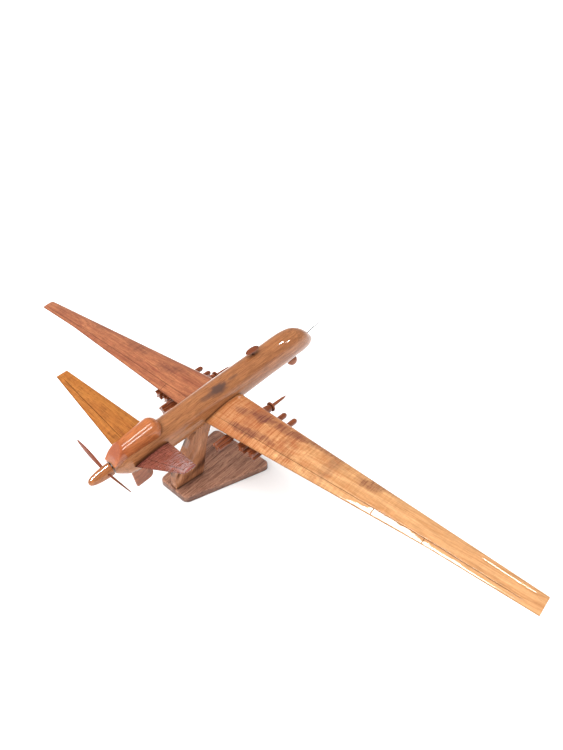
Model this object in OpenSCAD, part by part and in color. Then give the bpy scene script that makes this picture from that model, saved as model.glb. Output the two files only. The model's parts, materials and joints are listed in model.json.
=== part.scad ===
// Carved wooden desk model of a long-winged, V-tailed, pusher-propeller aircraft on its stand.
// X runs forward to the nose, Y to the port wing tip, Z up. The origin is the middle of the
// base board's underside. The aircraft is built along its own axis and pitched onto the stand.

/* [Aircraft] */
// Distance between the two wing tips
wing_span = 628; // [520:1:760]
// Length of the fuselage from its flat aft end to the nose tip
fuselage_length = 251; // [208:1:302]
// Width of the fuselage where the wings join it
fuselage_width = 29; // [24:0.5:35]
// Height of the fuselage where the wings join it
fuselage_height = 32; // [26.5:0.5:38.5]
// Nose-up angle of the aircraft on its stand
pitch_angle = 9.7; // [5:0.1:13]

/* [Wings] */
// Chord of a wing where it meets the fuselage
wing_root_chord = 46; // [38:0.5:54]
// Chord of a wing at its tip
wing_tip_chord = 15; // [11:0.5:20]
// Greatest thickness of a wing at its root
wing_root_thick = 5.8; // [5:0.1:7.5]
// Greatest thickness of a wing at its tip
wing_tip_thick = 2.4; // [1.6:0.1:3.4]
// Upward slope of each wing
wing_dihedral = 1.4; // [0:0.1:4]
// Angle between the wing chord and the fuselage axis
wing_incidence = 2.2; // [0:0.1:4]
// Distance that the leading edge falls back between root and tip
wing_sweep = 23.6; // [14:0.2:34]

/* [Tail] */
// Distance between the two tail tips
tail_span = 187; // [150:1:220]
// Chord of a tail fin where it meets the fuselage
tail_root_chord = 36; // [30:0.5:42]
// Chord of a tail fin at its tip
tail_tip_chord = 11; // [8:0.5:16]
// Upward slope of each tail fin
tail_dihedral = 29.9; // [24:0.1:38]
// Depth of the ventral fin below the fuselage axis
ventral_depth = 33.5; // [28:0.5:38]

/* [Propeller] */
// Radius of the propeller
blade_radius = 40; // [32:0.5:46]
// Length of the spinner
spinner_length = 21.5; // [17:0.5:26]
// Radius of the spinner at its flat end
spinner_r = 6; // [5:0.1:7]
// Angle by which the hand-set blades point above a straight line
blade_set = 14; // [0:1:15]
// Turn of the propeller at rest
blade_turn = 8; // [-20:1:20]

/* [Stores] */
// Distance of each bomb from the middle of the aircraft
bomb_y = 40.5; // [34:0.5:46]
// Radius of a bomb's body
bomb_r = 4.3; // [3.6:0.1:5]
// Distance of each twin missile launcher from the middle of the aircraft
launcher_y = 62; // [58:0.5:70]
// Distance between the two missiles of a launcher
missile_gap = 13; // [11.5:0.5:16]
// Radius of a missile's body
missile_r = 2.8; // [2.3:0.1:3.4]

/* [Stand] */
// Length of the base board
base_length = 91; // [76:1:108]
// Width of the base board at its front end, under the nose
base_front = 82; // [68:1:98]
// Width of the base board at its narrow rear end
base_rear = 43; // [36:1:52]
// Thickness of the base board
base_thick = 6.5; // [5.5:0.1:8]
// Height of the fuselage axis above the table, under the wings
axis_height = 82; // [68:0.5:99]
// Thickness of the curved arm
arm_thick = 9; // [7:0.5:11]

/* [Hidden] */

$fn = 64;
eps = 0.01;
glue_gap = 0.02;      // hairline between pieces that are glued together
run_gap = 0.05;       // radial clearance where something turns or slides
seat_gap = 0.3;       // gap between the arm's saddle and the fuselage
port = 1;
starboard = -1;

// Where the aircraft's own frame sits in the stand's frame
air_x = 11.2;

// Fuselage stations along its axis, forward of the wings' middle
nose_x = 139;
tail_x = nose_x - fuselage_length;
thrust_z = 3.4;       // height of the propeller's axis above the fuselage axis
half_w = fuselage_width / 2;
half_h = fuselage_height / 2;
nose_droop = -9.2;    // height of the nose tip
// [position 0 tail to 1 nose, width factor, height factor, centre height]
SHAPE = [
    [0.000, 0.41, 0.37, 3.4], [0.018, 0.62, 0.57, 2.6], [0.045, 0.84, 0.79, 1.5],
    [0.100, 0.92, 0.90, 0.7], [0.220, 0.96, 0.95, 0.1], [0.400, 1.00, 1.00, 0.2],
    [0.700, 1.01, 1.01, 0.7], [0.820, 1.03, 1.04, 1.0], [0.868, 1.00, 1.00, 0.8],
    [0.906, 0.94, 0.95, -0.6], [0.944, 0.79, 0.78, -3.3], [0.976, 0.53, 0.50, -6.8],
    [0.993, 0.29, 0.26, -9.0], [1.000, 0.04, 0.04, nose_droop]];
body_rings = 34;
ring_points = 32;

// Aft cut that faces up and back behind the cowl
cut_x = tail_x + 13;
cut_z = half_h + 5.5;
cut_angle = 45;

// Wings
wing_z = -4.1;        // height of the wing chord at the fuselage side
wing_waist = 2.2;     // how far the trailing edge lies ahead of a straight line
waist_at = 0.75;      // where it does so most, as a share of the way to the tip
root_y = half_w - 3.5;
dowel_r = 1.25;
dowel_reach = 34;
dowel_x = 8;

// Tail fins
tail_le = tail_x + 50.1; // leading edge at the fuselage side
tail_y = 12;
tail_sweep = 23;
tail_root_thick = 3.6;
tail_tip_thick = 1.8;
tail_pin_r = 0.9;
tail_pin_x = tail_x + 32;
ventral_x = tail_x + 13.3; // straight trailing edge of the ventral fin
ventral_length = 18.7;
ventral_thick = 2.6;
ventral_round = 5.5;
ventral_pin_x = tail_x + 22;

// Cowl on the aft fuselage
cowl_front = tail_x + 52.5;
cowl_nose = 9;        // length of the cowl's rounded front
cowl_aft = tail_x;
cowl_w = 10.8;        // half width at the front
cowl_h = 11.6;        // height above its centre line at the front
cowl_z = half_h - 2.6; // centre line height at the front
cowl_taper = 0.22;    // share of its size lost towards the aft end
cowl_lip = 1.3;       // gap under the cowl's front edge
cowl_lip_length = 7;
cowl_dowel_x = tail_x + 34;

// Small fittings
probe_r = 0.5;
probe_x = 135.8;
probe_z = -2.3;
probe_angle = 7.7;
probe_out = 20;
probe_in = 9;
stalk_x = 56.9;
stalk_r = 1.2;
cap_size = [16.8, 7.6, 5];
cap_z = half_h + 6;
sensor_x = 107.2;
sensor_z = -half_h - 5.2;
sensor_r = 6.2;
neck_r = 3.8;

// Propeller
spin_gap = 0.8;       // gap between the spinner and the fuselage
spin_x = tail_x - spin_gap;
blade_x = spin_x - 5;
pin_r = 1;
pin_in = 12;
pin_out = 13;
blade_root_angle = 32;
blade_tip_angle = 62;
blade_chord = 4.4;
blade_thick = 1.3;

// Stores hang parallel to each other, slightly nose down
store_droop = 2;
bomb_z = -13.4;
bomb_nose = 57;
bomb_rod = 20;        // length of the thin rod at the bomb's nose
bomb_rod_r = 1.35;
bomb_tail = -34;
bomb_fin_length = 16;
bomb_fin_r = bomb_r + 1;
bomb_fin_thick = 1.7;
collar_r = bomb_r + 0.7;
collar_thick = 1.8;
missile_z = -17.6;
missile_nose = 39.5;
missile_tail = -20;
missile_fin_length = 10;
missile_fin_r = missile_r + 2.6;
missile_fin_thick = 1.4;
pylon_length = 26;
fin_clear = 0.6;      // from the missiles' fins to the launcher's rails
pylon_thick = 3.2;
plate_thick = 2.4;
rail_thick = 2;

// Stand
corner_r = 6.5;
foot_gap = 2;         // from the base's rear edge to the arm's foot
foot_length = 31.5;
foot_height = 12;     // height of the foot's flat end
arm_top_x = -14.5;
arm_top_z = axis_height - half_h - 6;
arm_rise = 12;        // the arm's blank runs this far up past the fuselage's underside
peg_r = 2.5;
peg_x = -15;          // along the fuselage
peg_up = 10;
peg_down = 14;
screw_r = 1.7;
screw_head_r = 3.4;
screw_head_h = 2.2;
screw_recess = 0.4;
screw_length = 24;
screw_x = [-base_length / 2 + 11.5, -base_length / 2 + 25.5];

// ---- Shared functions and modules ----

function mix(a, b, t) = a + (b - a) * t;

// Smooth value of column c of a station table at position t
function segment(table, t, i = 0) =
    i >= len(table) - 2 || t <= table[i + 1][0] ? i : segment(table, t, i + 1);
function slope(table, c, i) =
    let (a = max(i - 1, 0), b = min(i + 1, len(table) - 1))
    (table[b][c] - table[a][c]) / (table[b][0] - table[a][0]);
function smooth(table, c, t) =
    let (i = segment(table, t), a = table[i], b = table[i + 1],
        w = b[0] - a[0], u = (t - a[0]) / w)
    (2 * u^3 - 3 * u^2 + 1) * a[c] + (u^3 - 2 * u^2 + u) * w * slope(table, c, i)
    + (3 * u^2 - 2 * u^3) * b[c] + (u^3 - u^2) * w * slope(table, c, i + 1);

// Points of an oval across the X axis
function oval(x, w, h, z, n = ring_points) =
    [for (i = [0 : n - 1]) [x, w * cos(360 * i / n), z + h * sin(360 * i / n)]];

// A closed skin over a list of equal rings
module loft(rings) {
    n = len(rings[0]);
    m = len(rings);
    points = [for (ring = rings) each ring];
    sides = [for (j = [0 : m - 2], i = [0 : n - 1])
        let (a = j * n + i, b = j * n + (i + 1) % n)
        each [[a, b + n, b], [a, a + n, b + n]]];
    first = [for (i = [0 : n - 1]) i];
    last = [for (i = [n - 1 : -1 : 0]) (m - 1) * n + i];
    polyhedron(points, concat(sides, [first, last]));
}

// A loft whose rings run the other way round
module loft_back(rings) {
    loft([for (ring = rings) [for (i = [len(ring) - 1 : -1 : 0]) ring[i]]]);
}

// Half thickness of an aerofoil of unit chord and thickness at x behind its leading edge
function foil(x) = 5 * (0.2969 * sqrt(x) - 0.126 * x - 0.3516 * x^2 + 0.2843 * x^3
    - 0.1036 * x^4) + 0.05 * x;
FOIL_STEPS = 12;
// Aerofoil section in a plane across Y: leading edge at [x, z], chord c, thickness t
function section(x, y, z, c, t, camber, tilt) =
    [for (k = [0 : 2 * FOIL_STEPS])
        let (s = k <= FOIL_STEPS ? 1 : -1,
            u = 0.5 + 0.5 * cos(180 * k / FOIL_STEPS),
            px = -u * c,
            pz = s * foil(u) * t + 4 * camber * u * (1 - u) * c)
        [x + px * cos(tilt) - pz * sin(tilt), y, z + px * sin(tilt) + pz * cos(tilt)]];

// Moves the aircraft's own frame onto the stand
module airframe() {
    translate([air_x, 0, axis_height]) rotate([0, -pitch_angle, 0]) children();
}

// A rod along X from x1 to x2
module rod(x1, x2, r) {
    translate([x1, 0, 0]) rotate([0, 90, 0]) cylinder(h = x2 - x1, r = r);
}

// ---- Stand ----

// Corner circles of the base board, in order round it
BASE_CORNERS = [
    [-base_length / 2 + corner_r, -base_rear / 2 + corner_r],
    [base_length / 2 - corner_r, -base_front / 2 + corner_r],
    [base_length / 2 - corner_r, base_front / 2 - corner_r],
    [-base_length / 2 + corner_r, base_rear / 2 - corner_r]];

// Tangent points of the corner circles: a trapezoid with eight sides
function edge_normal(a, b) = let (d = b - a) [d[1], -d[0]] / norm(d);
function base_outline() = [for (i = [0 : 3])
    let (c = BASE_CORNERS[i], before = BASE_CORNERS[(i + 3) % 4], after = BASE_CORNERS[(i + 1) % 4])
    each [c + corner_r * edge_normal(before, c), c + corner_r * edge_normal(c, after)]];

module base_blank() {
    linear_extrude(base_thick) polygon(base_outline());
    for (c = BASE_CORNERS) translate(c) cylinder(h = base_thick, r = corner_r);
}

module screw_shape(extra = 0) {
    translate([0, 0, screw_recess])
        cylinder(h = screw_head_h, r1 = screw_head_r + extra, r2 = screw_r + extra);
    translate([0, 0, screw_recess + screw_head_h - eps])
        cylinder(h = screw_length - screw_head_h, r = screw_r + extra);
}

module screw_holes() {
    for (x = screw_x) translate([x, 0, 0]) {
        screw_shape(glue_gap);
        translate([0, 0, -1]) cylinder(h = 1 + screw_recess + eps, r = screw_head_r + glue_gap);
    }
}

module base_board() {
    color("#6b4a38") difference() {
        base_blank();
        screw_holes();
    }
}

// Cubic curve through four control points
function bezier(p, n) = [for (i = [0 : n]) let (t = i / n, s = 1 - t)
    s^3 * p[0] + 3 * s^2 * t * p[1] + 3 * s * t^2 * p[2] + t^3 * p[3]];

foot_x = -base_length / 2 + foot_gap;
arm_front = bezier([[foot_x + foot_length, base_thick], [-5.5, 0.43 * arm_top_z],
    [-5, 0.78 * arm_top_z], [4.5, arm_top_z]], 12);
arm_back = bezier([[arm_top_x, arm_top_z], [-24, 0.82 * arm_top_z], [-33, 0.55 * arm_top_z],
    [foot_x, base_thick + foot_height]], 10);

module arm_blank() {
    rotate([90, 0, 0]) linear_extrude(arm_thick, center = true)
        polygon(concat(arm_front, [[4.5, arm_top_z + arm_rise], [arm_top_x, arm_top_z + arm_rise]],
            arm_back, [[foot_x, base_thick]]));
}

module stand_arm() {
    color("#7d5640") difference() {
        arm_blank();
        airframe() {
            fuselage_blank(seat_gap);
            peg_shape(glue_gap);
            translate([-60, -20, 0]) cube([120, 40, 60]);
        }
        screw_holes();
    }
}

module arm_screws() {
    color("#b9b9b4") for (x = screw_x) translate([x, 0, 0]) screw_shape();
}

module peg_shape(extra = 0) {
    translate([peg_x, 0, -half_h - peg_down - extra])
        cylinder(h = peg_down + peg_up + extra, r = peg_r + extra);
}

module stand_peg() {
    color("#c49a6c") airframe() peg_shape();
}

// ---- Fuselage ----

function body_t(j) = 0.5 - 0.5 * cos(180 * j / body_rings);
module fuselage_blank(grow = 0) {
    loft([for (j = [0 : body_rings]) let (t = body_t(j)) oval(
        mix(tail_x, nose_x, t),
        half_w * smooth(SHAPE, 1, t) + grow,
        half_h * smooth(SHAPE, 2, t) + grow,
        smooth(SHAPE, 3, t))]);
}

// Everything above and behind the sloping aft cut
module aft_cut() {
    translate([cut_x, -20, cut_z]) rotate([0, -cut_angle, 0])
        translate([-60, 0, 0]) cube([80, 40, 40]);
}

module dowel_pair(extra = 0) {
    for (x = [-dowel_x, dowel_x]) translate([x, 0, wing_z]) rotate([90, 0, 0])
        cylinder(h = 2 * (dowel_reach + extra), r = dowel_r + extra, center = true);
}

module tail_pin_shape(side, extra = 0) {
    translate([tail_pin_x, side * tail_y, 0]) rotate([-side * (90 - tail_dihedral), 0, 0])
        translate([0, 0, -8 - extra]) cylinder(h = 20 + 2 * extra, r = tail_pin_r + extra);
}

module ventral_pin_shape(extra = 0) {
    translate([ventral_pin_x, 0, -half_h - 8 - extra]) cylinder(h = 18 + 2 * extra, r = 0.9 + extra);
}

module cowl_dowel_shape(extra = 0) {
    translate([cowl_dowel_x, 0, half_h - 8 - extra]) cylinder(h = 12 + 2 * extra, r = dowel_r + extra);
}

module probe_shape(extra = 0) {
    translate([probe_x, 0, probe_z]) rotate([0, -probe_angle, 0])
        rod(-probe_in - extra, probe_out, probe_r + extra);
}

module stalk_shape(extra = 0) {
    translate([stalk_x, 0, half_h - 4 - extra]) cylinder(h = cap_z - half_h + 5 + extra, r = stalk_r + extra);
}

module neck_shape(extra = 0) {
    translate([sensor_x, 0, sensor_z + 4]) cylinder(h = 8 + extra, r = neck_r + extra);
}

module propeller_pin_shape(extra = 0) {
    translate([0, 0, thrust_z]) rod(tail_x - pin_out, tail_x + pin_in + extra, pin_r + extra);
}

module fuselage() {
    color("#96552b") airframe() difference() {
        fuselage_blank();
        aft_cut();
        dowel_pair(glue_gap);
        translate([peg_x, 0, -half_h - 5]) cylinder(h = peg_up + 5 + 0.5, r = peg_r + run_gap);
        for (side = [port, starboard]) tail_pin_shape(side, glue_gap);
        ventral_pin_shape(glue_gap);
        cowl_dowel_shape(glue_gap);
        probe_shape(glue_gap);
        stalk_shape(glue_gap);
        neck_shape(glue_gap);
        propeller_pin_shape(glue_gap);
    }
}

module wing_dowels() { color("#d8b98a") airframe() dowel_pair(); }
module cowl_dowel() { color("#d8b98a") airframe() cowl_dowel_shape(); }
module ventral_pin() { color("#d8b98a") airframe() ventral_pin_shape(); }
module tail_pins() {
    color("#d8b98a") airframe() for (side = [port, starboard]) tail_pin_shape(side);
}
module nose_probe() { color("#8f9498") airframe() probe_shape(); }
module propeller_pin() { color("#8f9498") airframe() propeller_pin_shape(); }

// ---- Wings and tail ----

module wing_blank(side) {
    reach = wing_span / 2;
    le = wing_root_chord / 2;
    le_z = wing_z + wing_root_chord / 2 * sin(wing_incidence);
    waist_y = mix(half_w, reach, waist_at);
    sections = [for (y = [root_y, waist_y, reach]) let (t = (y - half_w) / (reach - half_w)) section(
        le - wing_sweep * t, side * y, le_z + (y - half_w) * tan(wing_dihedral),
        mix(wing_root_chord, wing_tip_chord, t) - (y == waist_y ? wing_waist : 0),
        mix(wing_root_thick, wing_tip_thick, t), 0.018, wing_incidence)];
    if (side > 0) loft(sections); else loft_back(sections);
}

module wing(side) {
    color(side > 0 ? "#9c4f27" : "#c9813a") airframe() difference() {
        wing_blank(side);
        fuselage_blank(glue_gap);
        dowel_pair(glue_gap);
    }
}

module port_wing() { wing(port); }
module starboard_wing() { wing(starboard); }

module tail_blank(side) {
    reach = (tail_span / 2 - tail_y) / cos(tail_dihedral);
    sections = [for (y = [-4, reach]) let (t = y / reach) section(
        tail_le - tail_sweep * t, side * y, 0, mix(tail_root_chord, tail_tip_chord, t),
        mix(tail_root_thick, tail_tip_thick, t), 0, 0)];
    translate([0, side * tail_y, 0]) rotate([side * tail_dihedral, 0, 0])
        if (side > 0) loft(sections); else loft_back(sections);
}

module tail_fin(side) {
    color(side > 0 ? "#b9752f" : "#8f3f22") airframe() difference() {
        tail_blank(side);
        fuselage_blank(glue_gap);
        tail_pin_shape(side, glue_gap);
    }
}

module port_tail_fin() { tail_fin(port); }
module starboard_tail_fin() { tail_fin(starboard); }

module ventral_fin() {
    color("#7a4632") airframe() difference() {
        translate([ventral_x, 0, 0]) rotate([90, 0, 0]) linear_extrude(ventral_thick, center = true) {
            polygon([[0, -8], [0, -ventral_depth], [ventral_length - ventral_round, -ventral_depth],
                [ventral_length, -ventral_depth + ventral_round], [ventral_length, -8]]);
            translate([ventral_length - ventral_round, -ventral_depth + ventral_round])
                circle(r = ventral_round);
        }
        fuselage_blank(glue_gap);
        ventral_pin_shape(glue_gap);
    }
}

// ---- Cowl ----

function cowl_size(x) = let (d = max(0, x - cowl_front + cowl_nose) / cowl_nose,
    back = max(0, cowl_front - cowl_nose - x) / (cowl_front - cowl_nose - cowl_aft))
    sqrt(max(0.0004, 1 - d^2)) * (1 - cowl_taper * back);

module cowl_blank() {
    steps = 20;
    xs = [for (i = [0 : steps]) i < steps / 2 ? mix(cowl_aft, cowl_front - cowl_nose, 2 * i / steps)
        : cowl_front - cowl_nose + cowl_nose * sin(90 * (2 * i / steps - 1))];
    loft([for (x = xs) let (s = cowl_size(x),
        back = max(0, cowl_front - cowl_nose - x) / (cowl_front - cowl_nose - cowl_aft))
        oval(x, cowl_w * s, cowl_h * s, cowl_z - 2 * back)]);
}

module engine_cowl() {
    color("#b5622e") airframe() difference() {
        cowl_blank();
        fuselage_blank(glue_gap);
        intersection() {
            fuselage_blank(cowl_lip);
            translate([cowl_front - cowl_lip_length, -20, 0]) cube([40, 40, 40]);
        }
        translate([cowl_aft - 10, -20, -40]) cube([80, 40, 48]);
        aft_cut();
        cowl_dowel_shape(glue_gap);
    }
}

// ---- Fittings ----

module antenna_stalk() { color("#4a2f22") airframe() stalk_shape(); }

module antenna_cap() {
    color("#9a5530") airframe() difference() {
        translate([stalk_x, 0, cap_z]) resize(cap_size) sphere(r = 10, $fn = 32);
        translate([stalk_x - 20, -20, cap_z - 20 - cap_size[2] / 8]) cube([40, 40, 20]);
        stalk_shape(glue_gap);
    }
}

module sensor_neck() { color("#7c4327") airframe() difference() {
    neck_shape();
    translate([sensor_x, 0, sensor_z]) sphere(r = sensor_r + glue_gap);
} }

module sensor_ball() {
    color("#95562f") airframe() translate([sensor_x, 0, sensor_z]) sphere(r = sensor_r);
}

// ---- Propeller ----

// Turns the XY profile of a solid of revolution onto the X axis
module turned(points) {
    rotate([0, 90, 0]) rotate_extrude() polygon(points);
}

// Quarter oval from [0, length] to [r, 0]
function bullet(r, length, n, power) = [for (i = [0 : n])
    [r * pow(cos(90 * i / n), power), length * sin(90 * i / n)]];

module spinner() {
    color("#b0602c") airframe() translate([spin_x, 0, thrust_z]) difference() {
        mirror([1, 0, 0]) turned(concat([[0, 0]], bullet(spinner_r, spinner_length, 16, 0.75)));
        translate([0.1, 0, 0]) rod(-pin_out - 0.5, 1, pin_r + run_gap);
        blade_sockets();
    }
}

// Blade section at radius r, its chord turned by the twist there
function blade_ring(r) =
    let (t = (r - spinner_r) / (blade_radius - spinner_r),
        c = blade_chord * (0.64 + 1.15 * t - 1.4 * t^3), w = mix(blade_thick, 0.8, t),
        a = mix(blade_root_angle, blade_tip_angle, sqrt(max(t, 0))))
    [for (i = [0 : 15]) let (u = c / 2 * cos(22.5 * i), v = w / 2 * sin(22.5 * i))
        [u * cos(a) - v * sin(a), r, u * sin(a) + v * cos(a)]];

BLADE_STATIONS = 14;
module blade_shape() {
    r0 = spinner_r - 2.6;
    loft_back([for (j = [0 : BLADE_STATIONS]) blade_ring(mix(r0, blade_radius, j / BLADE_STATIONS))]);
}

// Port blade when side is 1; the starboard blade is half a turn round, less the set angle
module place_blade(side) {
    turn = side > 0 ? blade_turn + blade_set : 180 + blade_turn - blade_set;
    translate([blade_x - spin_x, 0, 0]) rotate([turn, 0, 0]) children();
}

module blade_sockets() {
    for (side = [port, starboard]) place_blade(side) blade_shape();
}

module blade(side) {
    color("#7a3b2a") airframe() translate([spin_x, 0, thrust_z]) place_blade(side) blade_shape();
}

module port_blade() { blade(port); }
module starboard_blade() { blade(starboard); }

// ---- Stores ----

// Frame of a store whose axis is at [0, y, z] under the wing
module store(side, y, z) {
    translate([0, side * y, z]) rotate([0, store_droop, 0]) children();
}

module bomb_body() {
    turned([[0, bomb_tail], [bomb_r * 0.62, bomb_tail], [bomb_r * 0.7, bomb_tail + bomb_fin_length],
        [bomb_r * 0.93, bomb_tail + bomb_fin_length + 8], [bomb_r, bomb_tail + bomb_fin_length + 16],
        [bomb_r, bomb_nose - bomb_rod - 10], [bomb_r * 0.82, bomb_nose - bomb_rod - 3],
        [bomb_rod_r * 1.3, bomb_nose - bomb_rod], [bomb_rod_r, bomb_nose - 6], [0, bomb_nose]]);
}

module bomb(side) {
    color("#8a4227") airframe() store(side, bomb_y, bomb_z) bomb_body();
}

module collar_shape() {
    rod(bomb_nose - bomb_rod - 1 - collar_thick, bomb_nose - bomb_rod - 1, collar_r);
}

module bomb_collar(side) {
    color("#7b3d26") airframe() store(side, bomb_y, bomb_z) difference() {
        collar_shape();
        bomb_body();
    }
}

// Four fins in a cross round the X axis, from radius r1 to r2
module cross_fins(x1, x2, r1, r2, thick) {
    for (a = [0 : 90 : 270]) rotate([a, 0, 0])
        translate([x1, -thick / 2, r1]) cube([x2 - x1, thick, r2 - r1]);
}

module bomb_fins(side) {
    color("#a65a30") airframe() store(side, bomb_y, bomb_z) difference() {
        cross_fins(bomb_tail, bomb_tail + bomb_fin_length, bomb_r * 0.3, bomb_fin_r, bomb_fin_thick);
        bomb_body();
    }
}

module bomb_pylon(side) {
    color("#84452a") airframe() difference() {
        translate([-pylon_length / 2, side * bomb_y - pylon_thick / 2, bomb_z])
            cube([pylon_length, pylon_thick, -bomb_z]);
        wing_blank(side);
        translate([-50, side * bomb_y - 10, wing_z]) cube([100, 20, 30]);
        store(side, bomb_y, bomb_z) rod(-40, 40, bomb_r);
    }
}

module missile_body() {
    len_round = missile_r * 1.3;
    turned(concat([[0, missile_tail], [missile_r, missile_tail]],
        [for (i = [0 : 6]) [missile_r * cos(15 * i), missile_nose - len_round + len_round * sin(15 * i)]]));
}

function missile_y(place) = launcher_y + place * missile_gap / 2;

module missile(side, place) {
    color("#8c4a2d") airframe() store(side, missile_y(place), missile_z) missile_body();
}

module missile_fins(side, place) {
    color("#5e2f20") airframe() store(side, missile_y(place), missile_z) rotate([45, 0, 0])
        difference() {
            cross_fins(missile_tail, missile_tail + missile_fin_length, missile_r * 0.6,
                missile_fin_r, missile_fin_thick);
            missile_body();
        }
}

plate_z = missile_z + missile_r + 1;
launcher_aft = missile_tail + missile_fin_length + fin_clear;
launcher_length = pylon_length / 2 - launcher_aft;
module launcher(side) {
    color("#6e3a26") airframe() difference() {
        union() {
            translate([launcher_aft, side * launcher_y - missile_gap / 2 - rail_thick / 2, plate_z])
                cube([launcher_length, missile_gap + rail_thick, plate_thick]);
            for (place = [-1, 1])
                translate([launcher_aft, side * missile_y(place) - rail_thick / 2, missile_z])
                    cube([launcher_length, rail_thick, plate_z - missile_z + eps]);
        }
        for (place = [-1, 1]) store(side, missile_y(place), missile_z) rod(-50, 50, missile_r);
        translate([-50, side * launcher_y - 20, missile_z - 20]) cube([100, 40, 20 + missile_r * 0.4]);
    }
}

module missile_pylon(side) {
    color("#84452a") airframe() difference() {
        translate([launcher_aft + 1, side * launcher_y - pylon_thick / 2, plate_z + plate_thick])
            cube([launcher_length - 2, pylon_thick, -plate_z - plate_thick]);
        wing_blank(side);
        translate([-50, side * launcher_y - 10, wing_z + 1]) cube([100, 20, 30]);
    }
}

module port_bomb_pylon() { bomb_pylon(port); }
module starboard_bomb_pylon() { bomb_pylon(starboard); }
module port_bomb() { bomb(port); }
module starboard_bomb() { bomb(starboard); }
module port_bomb_collar() { bomb_collar(port); }
module starboard_bomb_collar() { bomb_collar(starboard); }
module port_bomb_fins() { bomb_fins(port); }
module starboard_bomb_fins() { bomb_fins(starboard); }
module port_missile_pylon() { missile_pylon(port); }
module starboard_missile_pylon() { missile_pylon(starboard); }
module port_launcher() { launcher(port); }
module starboard_launcher() { launcher(starboard); }
module port_inner_missile() { missile(port, -1); }
module port_outer_missile() { missile(port, 1); }
module starboard_inner_missile() { missile(starboard, -1); }
module starboard_outer_missile() { missile(starboard, 1); }
module port_inner_fins() { missile_fins(port, -1); }
module port_outer_fins() { missile_fins(port, 1); }
module starboard_inner_fins() { missile_fins(starboard, -1); }
module starboard_outer_fins() { missile_fins(starboard, 1); }

base_board();
stand_arm();
arm_screws();
stand_peg();
fuselage();
wing_dowels();
port_wing();
starboard_wing();
engine_cowl();
cowl_dowel();
port_tail_fin();
starboard_tail_fin();
tail_pins();
ventral_fin();
ventral_pin();
nose_probe();
antenna_stalk();
antenna_cap();
sensor_neck();
sensor_ball();
propeller_pin();
port_bomb_pylon();
starboard_bomb_pylon();
port_bomb();
starboard_bomb();
port_bomb_collar();
starboard_bomb_collar();
port_bomb_fins();
starboard_bomb_fins();
port_missile_pylon();
starboard_missile_pylon();
port_launcher();
starboard_launcher();
port_inner_missile();
port_outer_missile();
starboard_inner_missile();
starboard_outer_missile();
port_inner_fins();
port_outer_fins();
starboard_inner_fins();
starboard_outer_fins();
spinner();
port_blade();
starboard_blade();
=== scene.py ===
# %% [markdown]
# # A carved and lacquered wooden desk model of a long-winged aircraft
# The real model is carved from several pieces of mahogany, glued and dowelled together, sprayed
# with many coats of clear lacquer, and set on a wooden stand. This notebook dresses its
# engineering model: every visible piece is rebuilt as a smooth mesh with softened edges and
# scribed lines, and gets its own cut of wood. The engineering model stays the measure of where
# each piece is, so it is loaded first.
# %% Load the engineering model
import json
import math

import bmesh
import bpy
import numpy as np
from mathutils import Matrix, Vector


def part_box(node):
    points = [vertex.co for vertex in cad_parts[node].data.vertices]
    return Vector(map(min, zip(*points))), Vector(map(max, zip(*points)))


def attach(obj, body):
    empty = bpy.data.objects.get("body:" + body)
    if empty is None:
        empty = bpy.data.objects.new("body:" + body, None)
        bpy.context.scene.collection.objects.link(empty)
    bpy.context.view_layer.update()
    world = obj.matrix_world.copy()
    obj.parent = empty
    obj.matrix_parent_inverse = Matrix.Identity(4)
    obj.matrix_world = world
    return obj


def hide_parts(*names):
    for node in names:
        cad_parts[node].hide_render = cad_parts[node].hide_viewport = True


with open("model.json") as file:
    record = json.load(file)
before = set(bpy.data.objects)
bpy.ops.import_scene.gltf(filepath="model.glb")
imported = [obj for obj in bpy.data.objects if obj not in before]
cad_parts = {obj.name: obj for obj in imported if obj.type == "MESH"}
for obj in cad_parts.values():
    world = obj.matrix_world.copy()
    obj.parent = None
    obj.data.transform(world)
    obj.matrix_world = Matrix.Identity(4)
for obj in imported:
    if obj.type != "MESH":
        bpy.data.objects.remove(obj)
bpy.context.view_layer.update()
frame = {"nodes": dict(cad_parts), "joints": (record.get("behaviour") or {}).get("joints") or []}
MM = 0.001

# %% [markdown]
# ## The aircraft's own axes
# The aircraft sits nose up on its stand, but it is far easier to carve it level. So each piece is
# laid out in millimetres in the aircraft's own axes: X forward, Y to port, Z up. The propeller's
# joint tells how the aircraft is pitched and where it is, so nothing is typed in twice.
# %% Axes taken from the propeller's joint
spin = next(j for j in frame["joints"] if j["name"] == "propeller_spin")
FORWARD = np.array(spin["axis"])
UPWARD = np.array([-FORWARD[2], 0, FORWARD[0]])
PITCH = math.atan2(FORWARD[2], FORWARD[0])
HUB = np.array([-118.0, 0, 3.4])          # the joint's place in the aircraft's axes
AXES = np.array([FORWARD, [0, 1, 0], UPWARD])
ORIGIN = np.array(spin["pos_m"]) / MM - HUB @ AXES


def on_stand(points):
    """Aircraft millimetres to millimetres in the stand's frame."""
    return np.asarray(points, float) @ AXES + ORIGIN


def in_aircraft(point):
    """A point of the stand's frame in metres, in aircraft millimetres."""
    return (np.asarray(point, float) / MM - ORIGIN) @ AXES.T


print("pitch %.1f degrees, origin %s mm" % (math.degrees(PITCH), np.round(ORIGIN, 1)))

# %% [markdown]
# ## Turning outlines into skins
# Nearly every carved piece is a skin stretched over a row of cross sections, which boat builders
# call lofting. A primitive with modifiers could be bent into these shapes, but a loft says exactly
# what each section is, and it keeps the faces even, which a clear lacquer shows up at once.
# `skin` joins equal rings with quads, closes both ends, and makes sure that all faces look out.
# %% Mesh helpers
SHARP = math.radians(38)


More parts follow.
